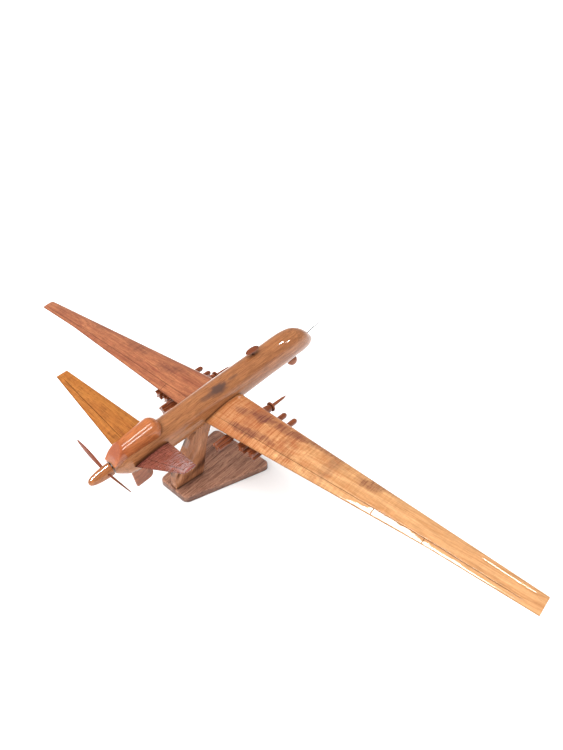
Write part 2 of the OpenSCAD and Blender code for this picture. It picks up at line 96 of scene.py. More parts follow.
def mesh_object(name, verts, faces, scale=MM):
    """A smooth shaded object at the origin, from points in the stand's frame."""
    mesh = bpy.data.meshes.new(name)
    mesh.from_pydata([tuple(v) for v in np.asarray(verts, float) * scale], [], faces)
    work = bmesh.new()
    work.from_mesh(mesh)
    bmesh.ops.recalc_face_normals(work, faces=work.faces)
    work.to_mesh(mesh)
    work.free()
    mesh.shade_smooth()
    mesh.set_sharp_from_angle(angle=SHARP)
    made = bpy.data.objects.new(name, mesh)
    bpy.context.scene.collection.objects.link(made)
    return made


def skin_parts(rings):
    """Points and faces of a closed skin over equal rings."""
    rings = [np.asarray(r, float) for r in rings]
    n, m = len(rings[0]), len(rings)
    verts = np.concatenate(rings)
    faces = [(j * n + i, j * n + (i + 1) % n, (j + 1) * n + (i + 1) % n, (j + 1) * n + i)
             for j in range(m - 1) for i in range(n)]
    for start in (0, (m - 1) * n):
        middle = len(verts)
        verts = np.vstack([verts, verts[start:start + n].mean(0)])
        faces += [(start + i, start + (i + 1) % n, middle) for i in range(n)]
    return verts, faces


def skin(name, rings, flying=True):
    """A closed skin. With flying, the rings are in the aircraft's axes."""
    verts, faces = skin_parts(rings)
    return mesh_object(name, on_stand(verts) if flying else verts, faces)


def joined(parts):
    """Several (points, faces) as one."""
    verts, faces, start = [], [], 0
    for v, f in parts:
        verts.append(v)
        faces += [tuple(i + start for i in face) for face in f]
        start += len(v)
    return np.concatenate(verts), faces


def circle(n):
    a = np.arange(n) * 2 * math.pi / n
    return np.cos(a), np.sin(a)


def lathe(profile, n=48):
    """Points and faces of a turned piece: profile is (place along X, radius)."""
    c, s = circle(n)
    rings = [np.stack([np.full(n, x), max(r, 0.01) * c, max(r, 0.01) * s], 1) for x, r in profile]
    return skin_parts(rings)


def plate(size, rounding=0.4, steps=3):
    """A box with softened edges, centred on the origin, as points and faces."""
    work = bmesh.new()
    bmesh.ops.create_cube(work, size=1, matrix=Matrix.Diagonal((*size, 1)))
    bmesh.ops.bevel(work, geom=work.edges[:], offset=rounding, segments=steps, affect="EDGES",
                    profile=0.5)
    work.verts.index_update()
    verts = np.array([v.co for v in work.verts])
    faces = [tuple(v.index for v in f.verts) for f in work.faces]
    work.free()
    return verts, faces


def turned_about_x(verts, degrees):
    a = math.radians(degrees)
    turn = np.array([[1, 0, 0], [0, math.cos(a), math.sin(a)], [0, -math.sin(a), math.cos(a)]])
    return verts @ turn


def mark(obj, name, values):
    """Stores a value between 0 and 1 at every point of a piece."""
    layer = obj.data.attributes.new(name, "FLOAT", "POINT")
    layer.data.foreach_set("value", np.asarray(values, np.float32))


def settle(obj, body, node, material):
    """Gives a piece its finish, and hands it to the body that carries it."""
    obj.data.materials.clear()
    obj.data.materials.append(material)
    nodes = [node] if isinstance(node, str) else list(node)
    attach(obj, body)
    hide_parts(*nodes)
    print("%-26s %6d faces, rides on %s" % (obj.name, len(obj.data.polygons), body))
    return obj


# %% [markdown]
# ## Lacquered wood
# Wood isn't one colour with lines on it. Close up there are fine fibres and short dark pores that
# run with the grain, wider bands where the growth rings are cut, soft dark patches, and in fancy
# cuts a rippled figure that crosses the grain and catches the light. Each of these is one noise
# or wave, stretched along the grain. A picture of wood would be quicker, but its edges would show
# on a carved piece; a solid pattern runs right through the piece as real grain does.
# The clear lacquer is the shader's coat: thin, hard and almost mirror smooth over a duller wood.
# %% Node helper
class Finish:
    """Builds a material's nodes with short calls."""

    def __init__(self, name):
        self.material = bpy.data.materials.new(name)
        self.material.use_nodes = True
        self.tree = self.material.node_tree
        self.shader = self.tree.nodes["Principled BSDF"]
        coordinates = self.tree.nodes.new("ShaderNodeTexCoord")
        self.place = coordinates.outputs["Object"]

    def put(self, socket, value):
        if isinstance(value, bpy.types.NodeSocket):
            self.tree.links.new(value, socket)
        else:
            socket.default_value = value

    def node(self, kind, output=0, settings=(), **inputs):
        made = self.tree.nodes.new(kind)
        for key, value in dict(settings).items():
            setattr(made, key, value)
        for key, value in inputs.items():
            found = made.inputs[int(key[1:])] if key[1:].isdigit() else made.inputs[key]
            self.put(found, value)
        return made.outputs[output]

    def math(self, operation, a, b=0.0, clamp=False):
        return self.node("ShaderNodeMath", settings={"operation": operation, "use_clamp": clamp},
                         _0=a, _1=b)

    def times_plus(self, a, factor, extra):
        return self.node("ShaderNodeMath", settings={"operation": "MULTIPLY_ADD"}, _0=a,
                         _1=factor, _2=extra)

    def vector(self, operation, a, b, output=0):
        return self.node("ShaderNodeVectorMath", output, {"operation": operation}, _0=a, _1=b)

    def noise(self, place, detail=3.0, roughness=0.55, scale=1.0):
        return self.node("ShaderNodeTexNoise", "Fac", Vector=place, Scale=scale, Detail=detail,
                         Roughness=roughness)

    def between(self, value, low, high, to_low=0.0, to_high=1.0):
        """value from low..high to to_low..to_high with soft ends."""
        return self.node("ShaderNodeMapRange", 0, {"interpolation_type": "SMOOTHSTEP"},
                         Value=value, _1=low, _2=high, _3=to_low, _4=to_high)

    def blend(self, share, a, b, kind="MIX"):
        made = self.tree.nodes.new("ShaderNodeMix")
        made.data_type = "RGBA"
        made.blend_type = kind
        made.clamp_factor = True
        self.put(made.inputs["Factor"], share)
        self.put(made.inputs["A"], a if isinstance(a, bpy.types.NodeSocket) else (*a, 1))
        self.put(made.inputs["B"], b if isinstance(b, bpy.types.NodeSocket) else (*b, 1))
        return next(o for o in made.outputs if o.type == "RGBA")


def rgb(code):
    """A linear colour from a hex code."""
    parts = [int(code[i:i + 2], 16) / 255 for i in (1, 3, 5)]
    return tuple(c / 12.92 if c <= 0.04045 else ((c + 0.055) / 1.055) ** 2.4 for c in parts)


def toned(colour, factor):
    """A colour made lighter or darker."""
    return tuple(min(1, c * factor) for c in colour)


print("shader helpers ready")


# %% [markdown]
# The wood itself, in four steps. First every point gets its place along, across and through the
# grain in millimetres, because all the patterns are stretched along it.
# %% Places in the grain
def along_the_grain(f, grain, shift):
    """Millimetres along the grain as a number, and along, across and through it as a vector.
    shift moves to another part of the tree, so no two boards look alike."""
    along = Vector(grain).normalized()
    aside = Vector((0, 0, 1)) if abs(along.z) < 0.8 else Vector((1, 0, 0))
    across = along.cross(aside).normalized()
    through = along.cross(across)
    mm = [f.times_plus(f.vector("DOT_PRODUCT", f.place, tuple(way), "Value"), 1 / MM, part * shift)
          for way, part in ((along, 1.0), (across, 0.7), (through, 0.4))]
    return mm[0], f.node("ShaderNodeCombineXYZ", X=mm[0], Y=mm[1], Z=mm[2])


def swaying(f, place):
    """The fibres wander a little, so nothing is ruler straight."""
    sway = f.noise(f.vector("MULTIPLY", place, (0.012, 0.03, 0.03)), 2)
    sway = f.math("MULTIPLY", f.math("SUBTRACT", sway, 0.5), 9.0)
    return f.vector("ADD", place, f.node("ShaderNodeCombineXYZ", Y=sway, Z=sway))


def stretched(f, place, along, across):
    return f.vector("MULTIPLY", place, (along, across, across))


print("grain helpers ready")

# %% [markdown]
# Then come the marks that a tree and a workshop leave on a board: stains round knots and lighter
# edges where polish has worn.
# Painted shade goes on too: darker corners and seams, darker upright sides, and dark scribed lines
# and rear edges.
# %% Stains, wear and painted shade
CREASE_SHADE_REACH = 0.005                      # metres over which painted shade darkens a corner or seam


def stains_and_painted_patches(f, colour, patches, patch, tatters, ragged, bars):
    """Dark patches: soft ovals with ragged edges; stains in the wood, and on the cowl a painted dark
    reflection. Each is a centre and three radii in the aircraft's axes, a strength, and sometimes a
    colour of its own."""
    millimetres = f.vector("MULTIPLY", f.place, (1 / MM,) * 3)
    for centre, radii, strength, *own in patches:
        away = f.vector("SUBTRACT", millimetres, tuple(on_stand(centre)))
        parts = [f.math("DIVIDE", f.vector("DOT_PRODUCT", away, tuple(way), "Value"), radius)
                 for way, radius in zip(AXES, radii)]
        oval = f.node("ShaderNodeCombineXYZ", X=parts[0], Y=parts[1], Z=parts[2])
        far = f.vector("LENGTH", oval, (0, 0, 0), "Value")
        far = f.math("ADD", far, f.math("MULTIPLY", f.math("SUBTRACT", tatters, 0.5), ragged))
        stain = f.between(far, 0.4, 1.2, strength, 0.0)
        if bars is not None:
            stain = f.math("MULTIPLY", stain, f.between(bars, 0.1, 0.6, 1.0, 0.6))
        colour = f.blend(stain, colour, rgb(own[0]) if own else patch)
    return colour


def worn_and_shaded(f, colour, pale, dark, worn, painted_side_shade, groove):
    """Worn edges, and painted shade: darker corners and seams, darker upright sides, and dark scribed
    lines and rear edges.
    """
    edge = f.node("ShaderNodeNewGeometry", "Pointiness")
    colour = f.blend(f.between(edge, 0.52, 0.62, 0, worn), colour, toned(pale, 1.5))
    # Painted shade: corners, creases and seams darken where ambient occlusion finds nearby surfaces;
    # at the joints this also stands in for the dark glue lines.
    crease_shade = f.node("ShaderNodeAmbientOcclusion", "AO", {"samples": 8}, Distance=CREASE_SHADE_REACH)
    colour = f.blend(f.between(crease_shade, 0.35, 0.95, 0.85, 0), colour, toned(dark, 0.3))
    # Painted shade: faces that stand upright are darkened, as sides turned away from the light look
    # darker.
    if painted_side_shade:
        upright_share = f.node("ShaderNodeSeparateXYZ", "Z",
                               Vector=f.node("ShaderNodeNewGeometry", "Normal"))
        side = f.between(f.math("ABSOLUTE", upright_share), 0.3, 0.8, painted_side_shade, 0)
        colour = f.blend(side, colour, toned(dark, 0.5))
    # Painted shade: the marked scribed grooves and the top of the rounded rear edges are darkened.
    if groove:
        cut = f.node("ShaderNodeAttribute", "Fac", {"attribute_name": "scribed"})
        colour = f.blend(f.math("MULTIPLY", cut, 0.85), colour, toned(dark, 0.22))
    return colour


print("stain and wear helpers ready")

# %% [markdown]
# The lacquer lies over the wood as its own thin layer, so it has its own roughness and its own
# very slight unevenness. The wood below it hardly shines by itself.
# %% Lacquer
def lacquered(f, place, wandering, coat, gloss, waves, peel_depth):
    """The lacquer has pulled in a little as it dried, so reflections waver."""
    peel = f.noise(f.vector("MULTIPLY", place, (0.05, 0.09, 0.09)), 2)
    if waves:
        ripples = f.noise(stretched(f, wandering, 0.16, 0.1), 2)
        peel = f.math("ADD", peel, f.math("MULTIPLY", ripples, waves))
    f.put(f.shader.inputs["Coat Normal"],
          f.node("ShaderNodeBump", Height=peel, Strength=0.35, Distance=peel_depth))
    for socket, value in (("Coat Weight", coat), ("Coat Roughness", gloss), ("Coat IOR", 1.5),
                          ("IOR", 1.45), ("Specular IOR Level", 0.03)):
        f.shader.inputs[socket].default_value = value


print("lacquer helper ready")

# %% [markdown]
# The recipe puts them together. `grain` is the direction in which the fibres run, in the stand's
# frame. The other arguments are what a timber buyer would ask about: the pale and the dark wood,
# how strong and wide the bands are, how much ripple figure crosses the grain and where it ends,
# where dark patches lie, and how thick and glossy the lacquer is.
# %% The wood recipe
PORE_DEPTH = 0.00008                      # metres


def wood(name, pale, dark, grain=(1, 0, 0), bands=0.5, band_width=5.0, mottling=0.3, fibre=0.35,
         pores=0.35, ripple=0.0, ripple_width=6.0, figure_ends=None, broad=0.0, patches=(),
         patch_colour="#5a2c1c", ragged=1.5, groove=False, worn=0.15, painted_side_shade=0.0, coat=1.0,
         gloss=0.05, waves=0.0, peel_depth=0.0002, shift=0.0):
    f = Finish(name)
    pale, dark, patch = rgb(pale), rgb(dark), rgb(patch_colour)
    length_mm, place = along_the_grain(f, grain, shift)
    wandering = swaying(f, place)

    # growth rings, finer streaks, fibres, pores and broad mottling
    rings = f.noise(stretched(f, wandering, 0.006, 1 / band_width), 4, 0.6)
    rings = f.between(rings, 0.35, 0.65)
    streaks = f.noise(stretched(f, wandering, 0.02, 2.6 / band_width), 5, 0.65)
    streaks = f.between(streaks, 0.38, 0.66)
    fine = f.noise(stretched(f, wandering, 0.07, 1.0), 5, 0.75)
    pits = f.between(f.noise(stretched(f, wandering, 0.11, 1.5), 3, 0.6), 0.56, 0.64)
    mottle = f.noise(f.vector("MULTIPLY", place, (0.02, 0.06, 0.06)), 3)

    share = f.math("ADD", f.math("MULTIPLY", rings, bands * 0.6),
                   f.math("MULTIPLY", streaks, bands * 0.5))
    share = f.math("ADD", share, f.math("MULTIPLY", f.math("SUBTRACT", mottle, 0.5), 2 * mottling),
                   clamp=True)
    colour = f.blend(share, pale, dark)
    shade = f.times_plus(f.math("SUBTRACT", fine, 0.5), 5.0 * fibre, 1.0)

    figured, bars, curl = 1.0, None, None
    if figure_ends:
        # the figure fades out between these places along the grain
        figured = f.between(length_mm, shift + figure_ends[1], shift + figure_ends[0], 0.15, 1.0)
    if ripple:
        # ripple figure: uneven bars across the grain that come and go
        bars = f.noise(stretched(f, wandering, 1 / ripple_width, 0.05), 4, 0.7)
        bars = f.between(bars, 0.36, 0.64)
        where = f.between(f.noise(stretched(f, wandering, 0.012, 0.03), 2), 0.35, 0.6, 0.35, 1)
        curl = f.math("MULTIPLY", f.math("SUBTRACT", bars, 0.5), where)
        curl = f.math("MULTIPLY", curl, figured)
        shade = f.math("ADD", shade, f.math("MULTIPLY", curl, ripple))
    if broad:
        # wide smoky bands across the grain, as where a branch once grew
        bank = f.noise(stretched(f, wandering, 0.045, 0.025), 4, 0.6)
        bank = f.math("MULTIPLY", f.between(bank, 0.47, 0.66, 0, broad), figured)
        colour = f.blend(bank, colour, patch)
    grey = f.node("ShaderNodeCombineColor", Red=shade, Green=shade, Blue=shade)
    colour = f.blend(1.0, colour, grey, "MULTIPLY")
    colour = f.blend(f.math("MULTIPLY", pits, pores), colour, toned(dark, 0.3))

    tatters = f.noise(stretched(f, wandering, 0.12, 0.2), 3, 0.6)
    colour = stains_and_painted_patches(f, colour, patches, patch, tatters, ragged, bars)
    colour = worn_and_shaded(f, colour, pale, dark, worn, painted_side_shade, groove)
    f.put(f.shader.inputs["Base Color"], colour)

    f.put(f.shader.inputs["Roughness"], f.times_plus(f.math("ADD", fine, mottle), 0.16, 0.30))
    height = f.math("SUBTRACT", f.math("MULTIPLY", fine, 0.5), pits)
    if curl is not None:
        height = f.math("ADD", height, f.math("MULTIPLY", curl, 1.5))
    f.put(f.shader.inputs["Normal"],
          f.node("ShaderNodeBump", Height=height, Strength=0.6, Distance=PORE_DEPTH))
    lacquered(f, place, wandering, coat, gloss, waves, peel_depth)
    print("finish", name, "with", len(f.tree.nodes), "nodes")
    return f.material

# %% [markdown]
# Each piece was cut from its own board, so each has its own colour and figure: a plain brown
# fuselage with one dark knot, a reddish port wing, a golden starboard wing with a strong ripple,
# a greyer stand, and dark red weapons.
# %% The cuts of wood and the small metal parts
SPANWISE = (0, 1, 0)
FUSELAGE_GRAIN = tuple(FORWARD)
body_wood = wood("body_wood", "#915f3b", "#6f3e25", FUSELAGE_GRAIN, bands=0.5, band_width=5,
                 patches=[((3, -8, 14), (14, 5.2, 7), 1.0), ((-13, -8, 13.5), (6, 2.6, 4), 0.5),
                          ((22, -7, 14), (8, 1.8, 4), 0.5)],
                 ragged=0.9, patch_colour="#4f372e", shift=40)
# The cowl's one patch, in its patch colour, is a painted dark reflection on the upper part of the
# sawn facet.
cowl_wood = wood("cowl_wood", "#a46138", "#874827", FUSELAGE_GRAIN, bands=0.5, band_width=5,
                 gloss=0.02, shift=210, ragged=0.4, patch_colour="#793319",
                 patches=[((-104, 1, 16), (12, 14, 11), 0.65)])
port_wood = wood("port_wing_wood", "#985f3f", "#77402d", SPANWISE, bands=0.9, band_width=4.5,
                 ripple=0.12, ripple_width=5, groove=True, shift=95,
                 patches=[((2, 76, 1), (7, 16, 8), 0.65), ((9, 62, 1), (4, 14, 8), 0.4),
                          ((5, 128, 2), (6, 22, 8), 0.5), ((3, 205, 4), (4, 18, 8), 0.3)],
                 patch_colour="#4e2a24")
golden_wood = wood("starboard_wing_wood", "#bb8d60", "#9b6940", SPANWISE, bands=0.8,
                   band_width=5, ripple=0.5, ripple_width=1.3, fibre=0.22, pores=0.15,
                   broad=0.45, groove=True, shift=330, peel_depth=0.0006,
                   figure_ends=(-150, -225),
                   patches=[((4, -10, 0), (60, 130, 40), 0.8, "#8a4522"),
                            ((5, -36, 0), (5, 12, 8), 0.7), ((9, -60, 0), (7, 18, 8), 1.0),
                            ((-11, -52, 0), (4.5, 23, 8), 0.9), ((-8, -72, 0), (4.5, 18, 8), 0.7),
                            ((10, -88, 0), (5, 20, 8), 0.8), ((12, -120, 1), (4, 32, 8), 0.6),
                            ((3.5, -178, 1), (5, 13, 8), 0.7), ((8, -190, 1), (4, 13, 8), 0.5)],
                   patch_colour="#5f3327")
port_tail_wood = wood("port_tail_wood", "#9f642d", "#84481e", (-0.25, 0.84, 0.48), bands=0.7,
                      band_width=3.2, ripple=0.3, ripple_width=2.4, groove=True, shift=520)
starboard_tail_wood = wood("starboard_tail_wood", "#7c443b", "#5c2c26", (-0.25, -0.84, 0.48),
                           bands=0.6, band_width=4, ripple=0.35, ripple_width=5, groove=True,
                           waves=22.0, gloss=0.06, shift=610)
spinner_wood = wood("spinner_wood", "#925a31", "#723e1f", FUSELAGE_GRAIN, bands=0.6, band_width=3,
                    gloss=0.02, shift=700)
blade_wood = wood("blade_wood", "#713b29", "#53271a", (0, 1, 0.2), bands=0.5, band_width=2,
                  shift=760)
ventral_wood = wood("ventral_wood", "#8d5336", "#683522", (0.9, 0, 0.4), bands=0.6, band_width=4,
                    ripple=0.2, ripple_width=4, shift=820)
# The base board's upright sides are darkened as painted shade.
base_wood = wood("base_wood", "#ae8169", "#5f4037", (1, 0.12, 0), bands=0.75, band_width=5,
                 worn=0.0, painted_side_shade=0.5, fibre=0.4, pores=0.6, coat=0.55, gloss=0.14,
                 mottling=0.5, shift=900)
arm_wood = wood("arm_wood", "#986748", "#6b402b", (0.35, 0, 1), bands=0.7, band_width=6,
                fibre=0.5, pores=0.5, coat=0.6, gloss=0.12, mottling=0.5, shift=980)
store_wood = wood("store_wood", "#784025", "#4b2116", FUSELAGE_GRAIN, bands=0.6, band_width=2.5,
                  fibre=0.4, mottling=0.5, shift=1060)
fin_wood = wood("store_fin_wood", "#753e23", "#3c180e", FUSELAGE_GRAIN, bands=0.7, band_width=2,
                fibre=0.45, mottling=0.7, shift=1120)
dark_wood = wood("dark_wood", "#57301f", "#351b12", (0, 0, 1), bands=0.4, band_width=2, shift=1180)
dowel_wood = wood("dowel_wood", "#d3ab78", "#b38a58", (0, 0, 1), bands=0.4, band_width=2,
                  coat=0.1, gloss=0.3, shift=1240)


def metal(name, colour, brushed):
    """Drawn steel: fine scratches that run round or along it."""
    f = Finish(name)
    scratches = f.noise(f.vector("MULTIPLY", f.place, brushed), 4, 0.7)
    spots = f.noise(f.vector("MULTIPLY", f.place, (420.0, 420.0, 420.0)), 2)
    f.put(f.shader.inputs["Base Color"],
          f.blend(f.between(scratches, 0.35, 0.7), rgb(colour), tuple(c * 0.55 for c in rgb(colour))))
    rough = f.between(f.math("ADD", scratches, spots), 0.7, 1.3, 0.22, 0.42)
    f.put(f.shader.inputs["Roughness"], rough)
    f.shader.inputs["Metallic"].default_value = 1.0
    bump = f.node("ShaderNodeBump", Height=scratches, Strength=0.3, Distance=0.00003)
    f.put(f.shader.inputs["Normal"], bump)
    return f.material


dark_steel = metal("axle_steel", "#47423f", (150.0, 6000.0, 6000.0))
screw_steel = metal("screw_steel", "#b7a98a", (3000.0, 3000.0, 900.0))

# %% [markdown]
# ## The fuselage
# The hull is a tube that swells into a bulbous nose and droops at its tip, and its tail is a
# short boat end. A handful of stations gives its width, height and centre line, and a smooth
# curve runs through them. At the back, behind the cowl, the maker has sawn a facet that faces up
# and back; `sawn` presses everything beyond that plane onto it, with a softened edge, which keeps
# the mesh closed where a boolean cut would leave thin slivers.
# %% Fuselage shape
NOSE_X, FUSELAGE_LENGTH = 139.0, 251.0
TAIL_X = NOSE_X - FUSELAGE_LENGTH
HALF_WIDTH, HALF_HEIGHT = 14.5, 16.0
STATIONS = np.array([
    [0.000, 0.41, 0.37, 3.4], [0.018, 0.62, 0.57, 2.6], [0.045, 0.84, 0.79, 1.5],
    [0.100, 0.92, 0.90, 0.7], [0.220, 0.96, 0.95, 0.1], [0.400, 1.00, 1.00, 0.2],
    [0.700, 1.01, 1.01, 0.7], [0.820, 1.03, 1.04, 1.0], [0.868, 1.00, 1.00, 0.8],
    [0.906, 0.94, 0.95, -0.6], [0.944, 0.79, 0.78, -3.3], [0.976, 0.53, 0.50, -6.8],
    [0.993, 0.29, 0.26, -9.0], [1.000, 0.04, 0.04, -9.2]])


def faired(t, column):
    """A smooth curve through one column of the station table."""
    s = STATIONS
    i = int(np.clip(np.searchsorted(s[:, 0], t) - 1, 0, len(s) - 2))

    def slope(k):
        a, b = max(k - 1, 0), min(k + 1, len(s) - 1)
        return (s[b, column] - s[a, column]) / (s[b, 0] - s[a, 0])

    w = s[i + 1, 0] - s[i, 0]
    u = (t - s[i, 0]) / w
    return ((2 * u**3 - 3 * u**2 + 1) * s[i, column] + (u**3 - 2 * u**2 + u) * w * slope(i)
            + (3 * u**2 - 2 * u**3) * s[i + 1, column] + (u**3 - u**2) * w * slope(i + 1))


def hull_size(x):
    """Half width, half height and centre height of the fuselage at x."""
    t = min(1.0, max(0.0, (x - TAIL_X) / FUSELAGE_LENGTH))
    return HALF_WIDTH * faired(t, 1), HALF_HEIGHT * faired(t, 2), faired(t, 3)


def hull_rings(count, points, grow=0.0, start=0.0, end=1.0):
    c, s = circle(points)
    rings = []
    for j in range(count + 1):
        t = start + (end - start) * (0.5 - 0.5 * math.cos(math.pi * j / count))
        x = TAIL_X + FUSELAGE_LENGTH * t
        w, h, z = hull_size(x)
        rings.append(np.stack([np.full(points, x), (w + grow) * c, z + (h + grow) * s], 1))
    return rings


SAW_POINT = np.array([-99.0, 0, 21.5])
HULL_BELOW = 0.15                         # the hull lies this far under the cowl's facet
SAW_NORMAL = np.array([-math.sin(math.radians(45)), 0, math.cos(math.radians(45))])


def sawn(verts, softness=0.8, below=0.0):
    """Presses what lies beyond the saw cut onto it, with a softened edge."""
    d = (verts - SAW_POINT) @ SAW_NORMAL + below
    pressed = np.where(d > softness, 0.0, np.where(d < -softness, d,
                                                   -(d - softness) ** 2 / (4 * softness)))
    return verts + (pressed - d)[:, None] * SAW_NORMAL


verts, faces = skin_parts(hull_rings(150, 96))
fuselage = mesh_object("fuselage_hull", on_stand(sawn(verts, below=HULL_BELOW)), faces)
settle(fuselage, "aircraft", "fuselage", body_wood)

# %% [markdown]
# ## Wings and tail fins
# A wing is an aerofoil lofted from root to tip. The maker has scribed the hinge line of the
# flaps and three short lines across them. Bump alone would vanish from the side, so the scribed
# lines are real grooves: the loft gets extra points and extra sections just there, and they are
# pressed in by a fraction of a millimetre. The tips are softened over the last millimetre.
# %% Aerofoil lofts
GROOVE_DEPTH, GROOVE_HALF = 0.32, 0.36
EDGE_WIDTH, EDGE_DROP = 1.1, 0.2


def foil(u):
    """Half thickness of an aerofoil of unit chord and thickness."""
    return 5 * (0.2969 * np.sqrt(u) - 0.126 * u - 0.3516 * u**2 + 0.2843 * u**3
                - 0.1036 * u**4) + 0.05 * u


def groove_at(distance):
    """1 at the middle of a scribed line, 0 away from it."""
    return np.clip(1 - np.abs(distance) / GROOVE_HALF, 0, 1)


def chord_shares(hinge, w):
    """Chord shares of one section: over the top from the trailing edge to the leading edge, then
    back below. Close points stand round the hinge line; the count never changes."""
    swell = 0.5 - 0.5 * np.cos(np.linspace(0, math.pi, 24))       # 0..1, close at the ends
    flap = 1 - (1 - hinge - 2.2 * w) * np.array([0, 0.04, 0.09, 0.16, 0.28, 0.5, 0.75, 1])
    groove = hinge + w * np.array([1.6, 1.1, 0.55, 0, -0.55, -1.1, -1.6])
    front = (hinge - 2.2 * w) * swell[::-1]
    top = np.concatenate([flap, groove, front])
    below = (0.5 - 0.5 * np.cos(np.linspace(0, math.pi, 33)))[1:-1]
    return np.concatenate([top, below]), np.concatenate([np.ones(len(top)), -np.ones(len(below))])


def aerofoil_loft(stations, hinge, lines, tilt, camber, extent):
    """stations: (y, leading edge x, z, chord, thickness). Returns rings, and marks of painted shade
    in the scribed grooves and along the top of the rounded rear edge. hinge is the chord share of the
    hinge line and extent the (y, y) it runs between."""
    rings, marks = [], []
    for y, le, z, chord, thick in stations:
        u, side = chord_shares(hinge, GROOVE_HALF / chord)
        inside = (min(1, max(0, (y - extent[0]) / 1.5)) * min(1, max(0, (extent[1] - y) / 1.5)))
        cut = np.where(side > 0, groove_at((u - hinge) * chord) * inside, 0)
        for line in lines:
            on_flap = (side > 0) & (u > hinge) & (u < 0.99)
            cut = np.maximum(cut, np.where(on_flap, groove_at(y - line), 0))
        height = side * foil(u) * thick - cut * np.minimum(GROOVE_DEPTH, 0.5 * foil(u) * thick)
        edge = np.clip(1 - (1 - u) * chord / EDGE_WIDTH, 0, 1)        # the rounded rear edge
        height -= (side > 0) * EDGE_DROP * edge**2
        px, pz = -u * chord, height + 4 * camber * u * (1 - u) * chord
        x = le + px * math.cos(tilt) - pz * math.sin(tilt)
        zz = z + px * math.sin(tilt) + pz * math.cos(tilt)
        rings.append(np.stack([x, np.full(len(u), y), zz], 1))
        # The marks say where painted shade goes: in the grooves, and along the top of the rounded
        # rear edge.
        marks.append(np.maximum(cut, 0.7 * edge * (side > 0)))
    return rings, marks


def span_places(start, end, lines, count=44):
    """Places along a span, with close ones round each scribed line and at the tip."""
    places = list(np.linspace(start, end - 1.0, count))
    for line in lines:
        places = [p for p in places if abs(p - line) > 1.2]
        places += [line + k * GROOVE_HALF for k in
                   (-2.0, -1.3, -1.05, -0.5, 0, 0.5, 1.05, 1.3, 2.0)]
    return sorted(places) + [end - 0.6, end - 0.25, end - 0.06, end]


def tip_share(y, end, rounding=1.0):
    """How much of its thickness a section keeps close to the tip."""
    d = (y - (end - rounding)) / rounding
    return math.sqrt(max(0.12, 1 - d * d)) if d > 0 else 1.0


WING_REACH, ROOT_Y = 314.0, 11.0
ROOT_CHORD, TIP_CHORD, SWEEP = 46.0, 15.0, 23.6
DIHEDRAL, INCIDENCE = math.radians(1.4), math.radians(2.2)
WAIST, WAIST_AT = 2.2, 0.75               # the trailing edge is hollowed by this, deepest here
WING_HEIGHT = -4.1                        # of the chord's middle at the fuselage's side
ROOT_THICK, TIP_THICK, WING_CAMBER = 5.8, 2.4, 0.018
WING_HINGE, WING_LINES, SCRIBED_SPAN = 0.77, [58.0, 193.0, 234.5], (20, 300)


def wing(name, side, node, material):
    stations = []
    for y in span_places(ROOT_Y, WING_REACH, WING_LINES):
        t = (y - HALF_WIDTH) / (WING_REACH - HALF_WIDTH)
        chord = ROOT_CHORD + (TIP_CHORD - ROOT_CHORD) * t
        chord -= WAIST * max(0.0, min(t / WAIST_AT, (1 - t) / (1 - WAIST_AT)))
        keep = tip_share(y, WING_REACH)
        inset = (1 - keep) * 0.5
        stations.append((y, ROOT_CHORD / 2 - SWEEP * t - inset,
                         WING_HEIGHT + ROOT_CHORD / 2 * math.sin(INCIDENCE)
                         + (y - HALF_WIDTH) * math.tan(DIHEDRAL),
                         chord - 2 * inset, (ROOT_THICK + (TIP_THICK - ROOT_THICK) * t) * keep))
    rings, marks = aerofoil_loft(stations, WING_HINGE, WING_LINES, INCIDENCE, WING_CAMBER,
                                 SCRIBED_SPAN)
    rings = [r * (1, side, 1) for r in rings]
    made = skin(name, rings)
    mark(made, "scribed", np.concatenate(marks + [[0, 0]]))
    return settle(made, "aircraft", node, material)


wing("port_wing_panel", 1, "port_wing", port_wood)
wing("starboard_wing_panel", -1, "starboard_wing", golden_wood)

# %% [markdown]
# The tail fins are the same kind of loft, laid flat first and then hinged up about the line
# where they meet the fuselage, as the maker glues them.
# %% Tail fins
TAIL_Y, TAIL_DIHEDRAL = 12.0, math.radians(29.9)
TAIL_REACH = (93.5 - TAIL_Y) / math.cos(TAIL_DIHEDRAL)
TAIL_FRONT, TAIL_SWEEP, TAIL_SUNK = -61.9, 23, 4
TAIL_CHORD, TAIL_TIP_CHORD, TAIL_THICK, TAIL_TIP_THICK, TAIL_HINGE = 36, 11, 3.6, 1.8, 0.70


def tail_fin(name, side, node, material):
    stations = []
    for y in span_places(-TAIL_SUNK, TAIL_REACH, [], 30):
        t = y / TAIL_REACH
        thick = TAIL_THICK + (TAIL_TIP_THICK - TAIL_THICK) * t
        stations.append((y, TAIL_FRONT - TAIL_SWEEP * t, 0,
                         TAIL_CHORD + (TAIL_TIP_CHORD - TAIL_CHORD) * t,
                         thick * tip_share(y, TAIL_REACH, 0.8)))
    rings, marks = aerofoil_loft(stations, TAIL_HINGE, [], 0, 0, (9, TAIL_REACH - 5))
    up, out = math.sin(TAIL_DIHEDRAL), math.cos(TAIL_DIHEDRAL)
    raised = [np.stack([r[:, 0], side * (TAIL_Y + r[:, 1] * out - r[:, 2] * up),
                        r[:, 1] * up + r[:, 2] * out], 1) for r in rings]
    made = skin(name, raised)
    mark(made, "scribed", np.concatenate(marks + [[0, 0]]))
    return settle(made, "aircraft", node, material)


tail_fin("port_tail_panel", 1, "port_tail_fin", port_tail_wood)
tail_fin("starboard_tail_panel", -1, "starboard_tail_fin", starboard_tail_wood)

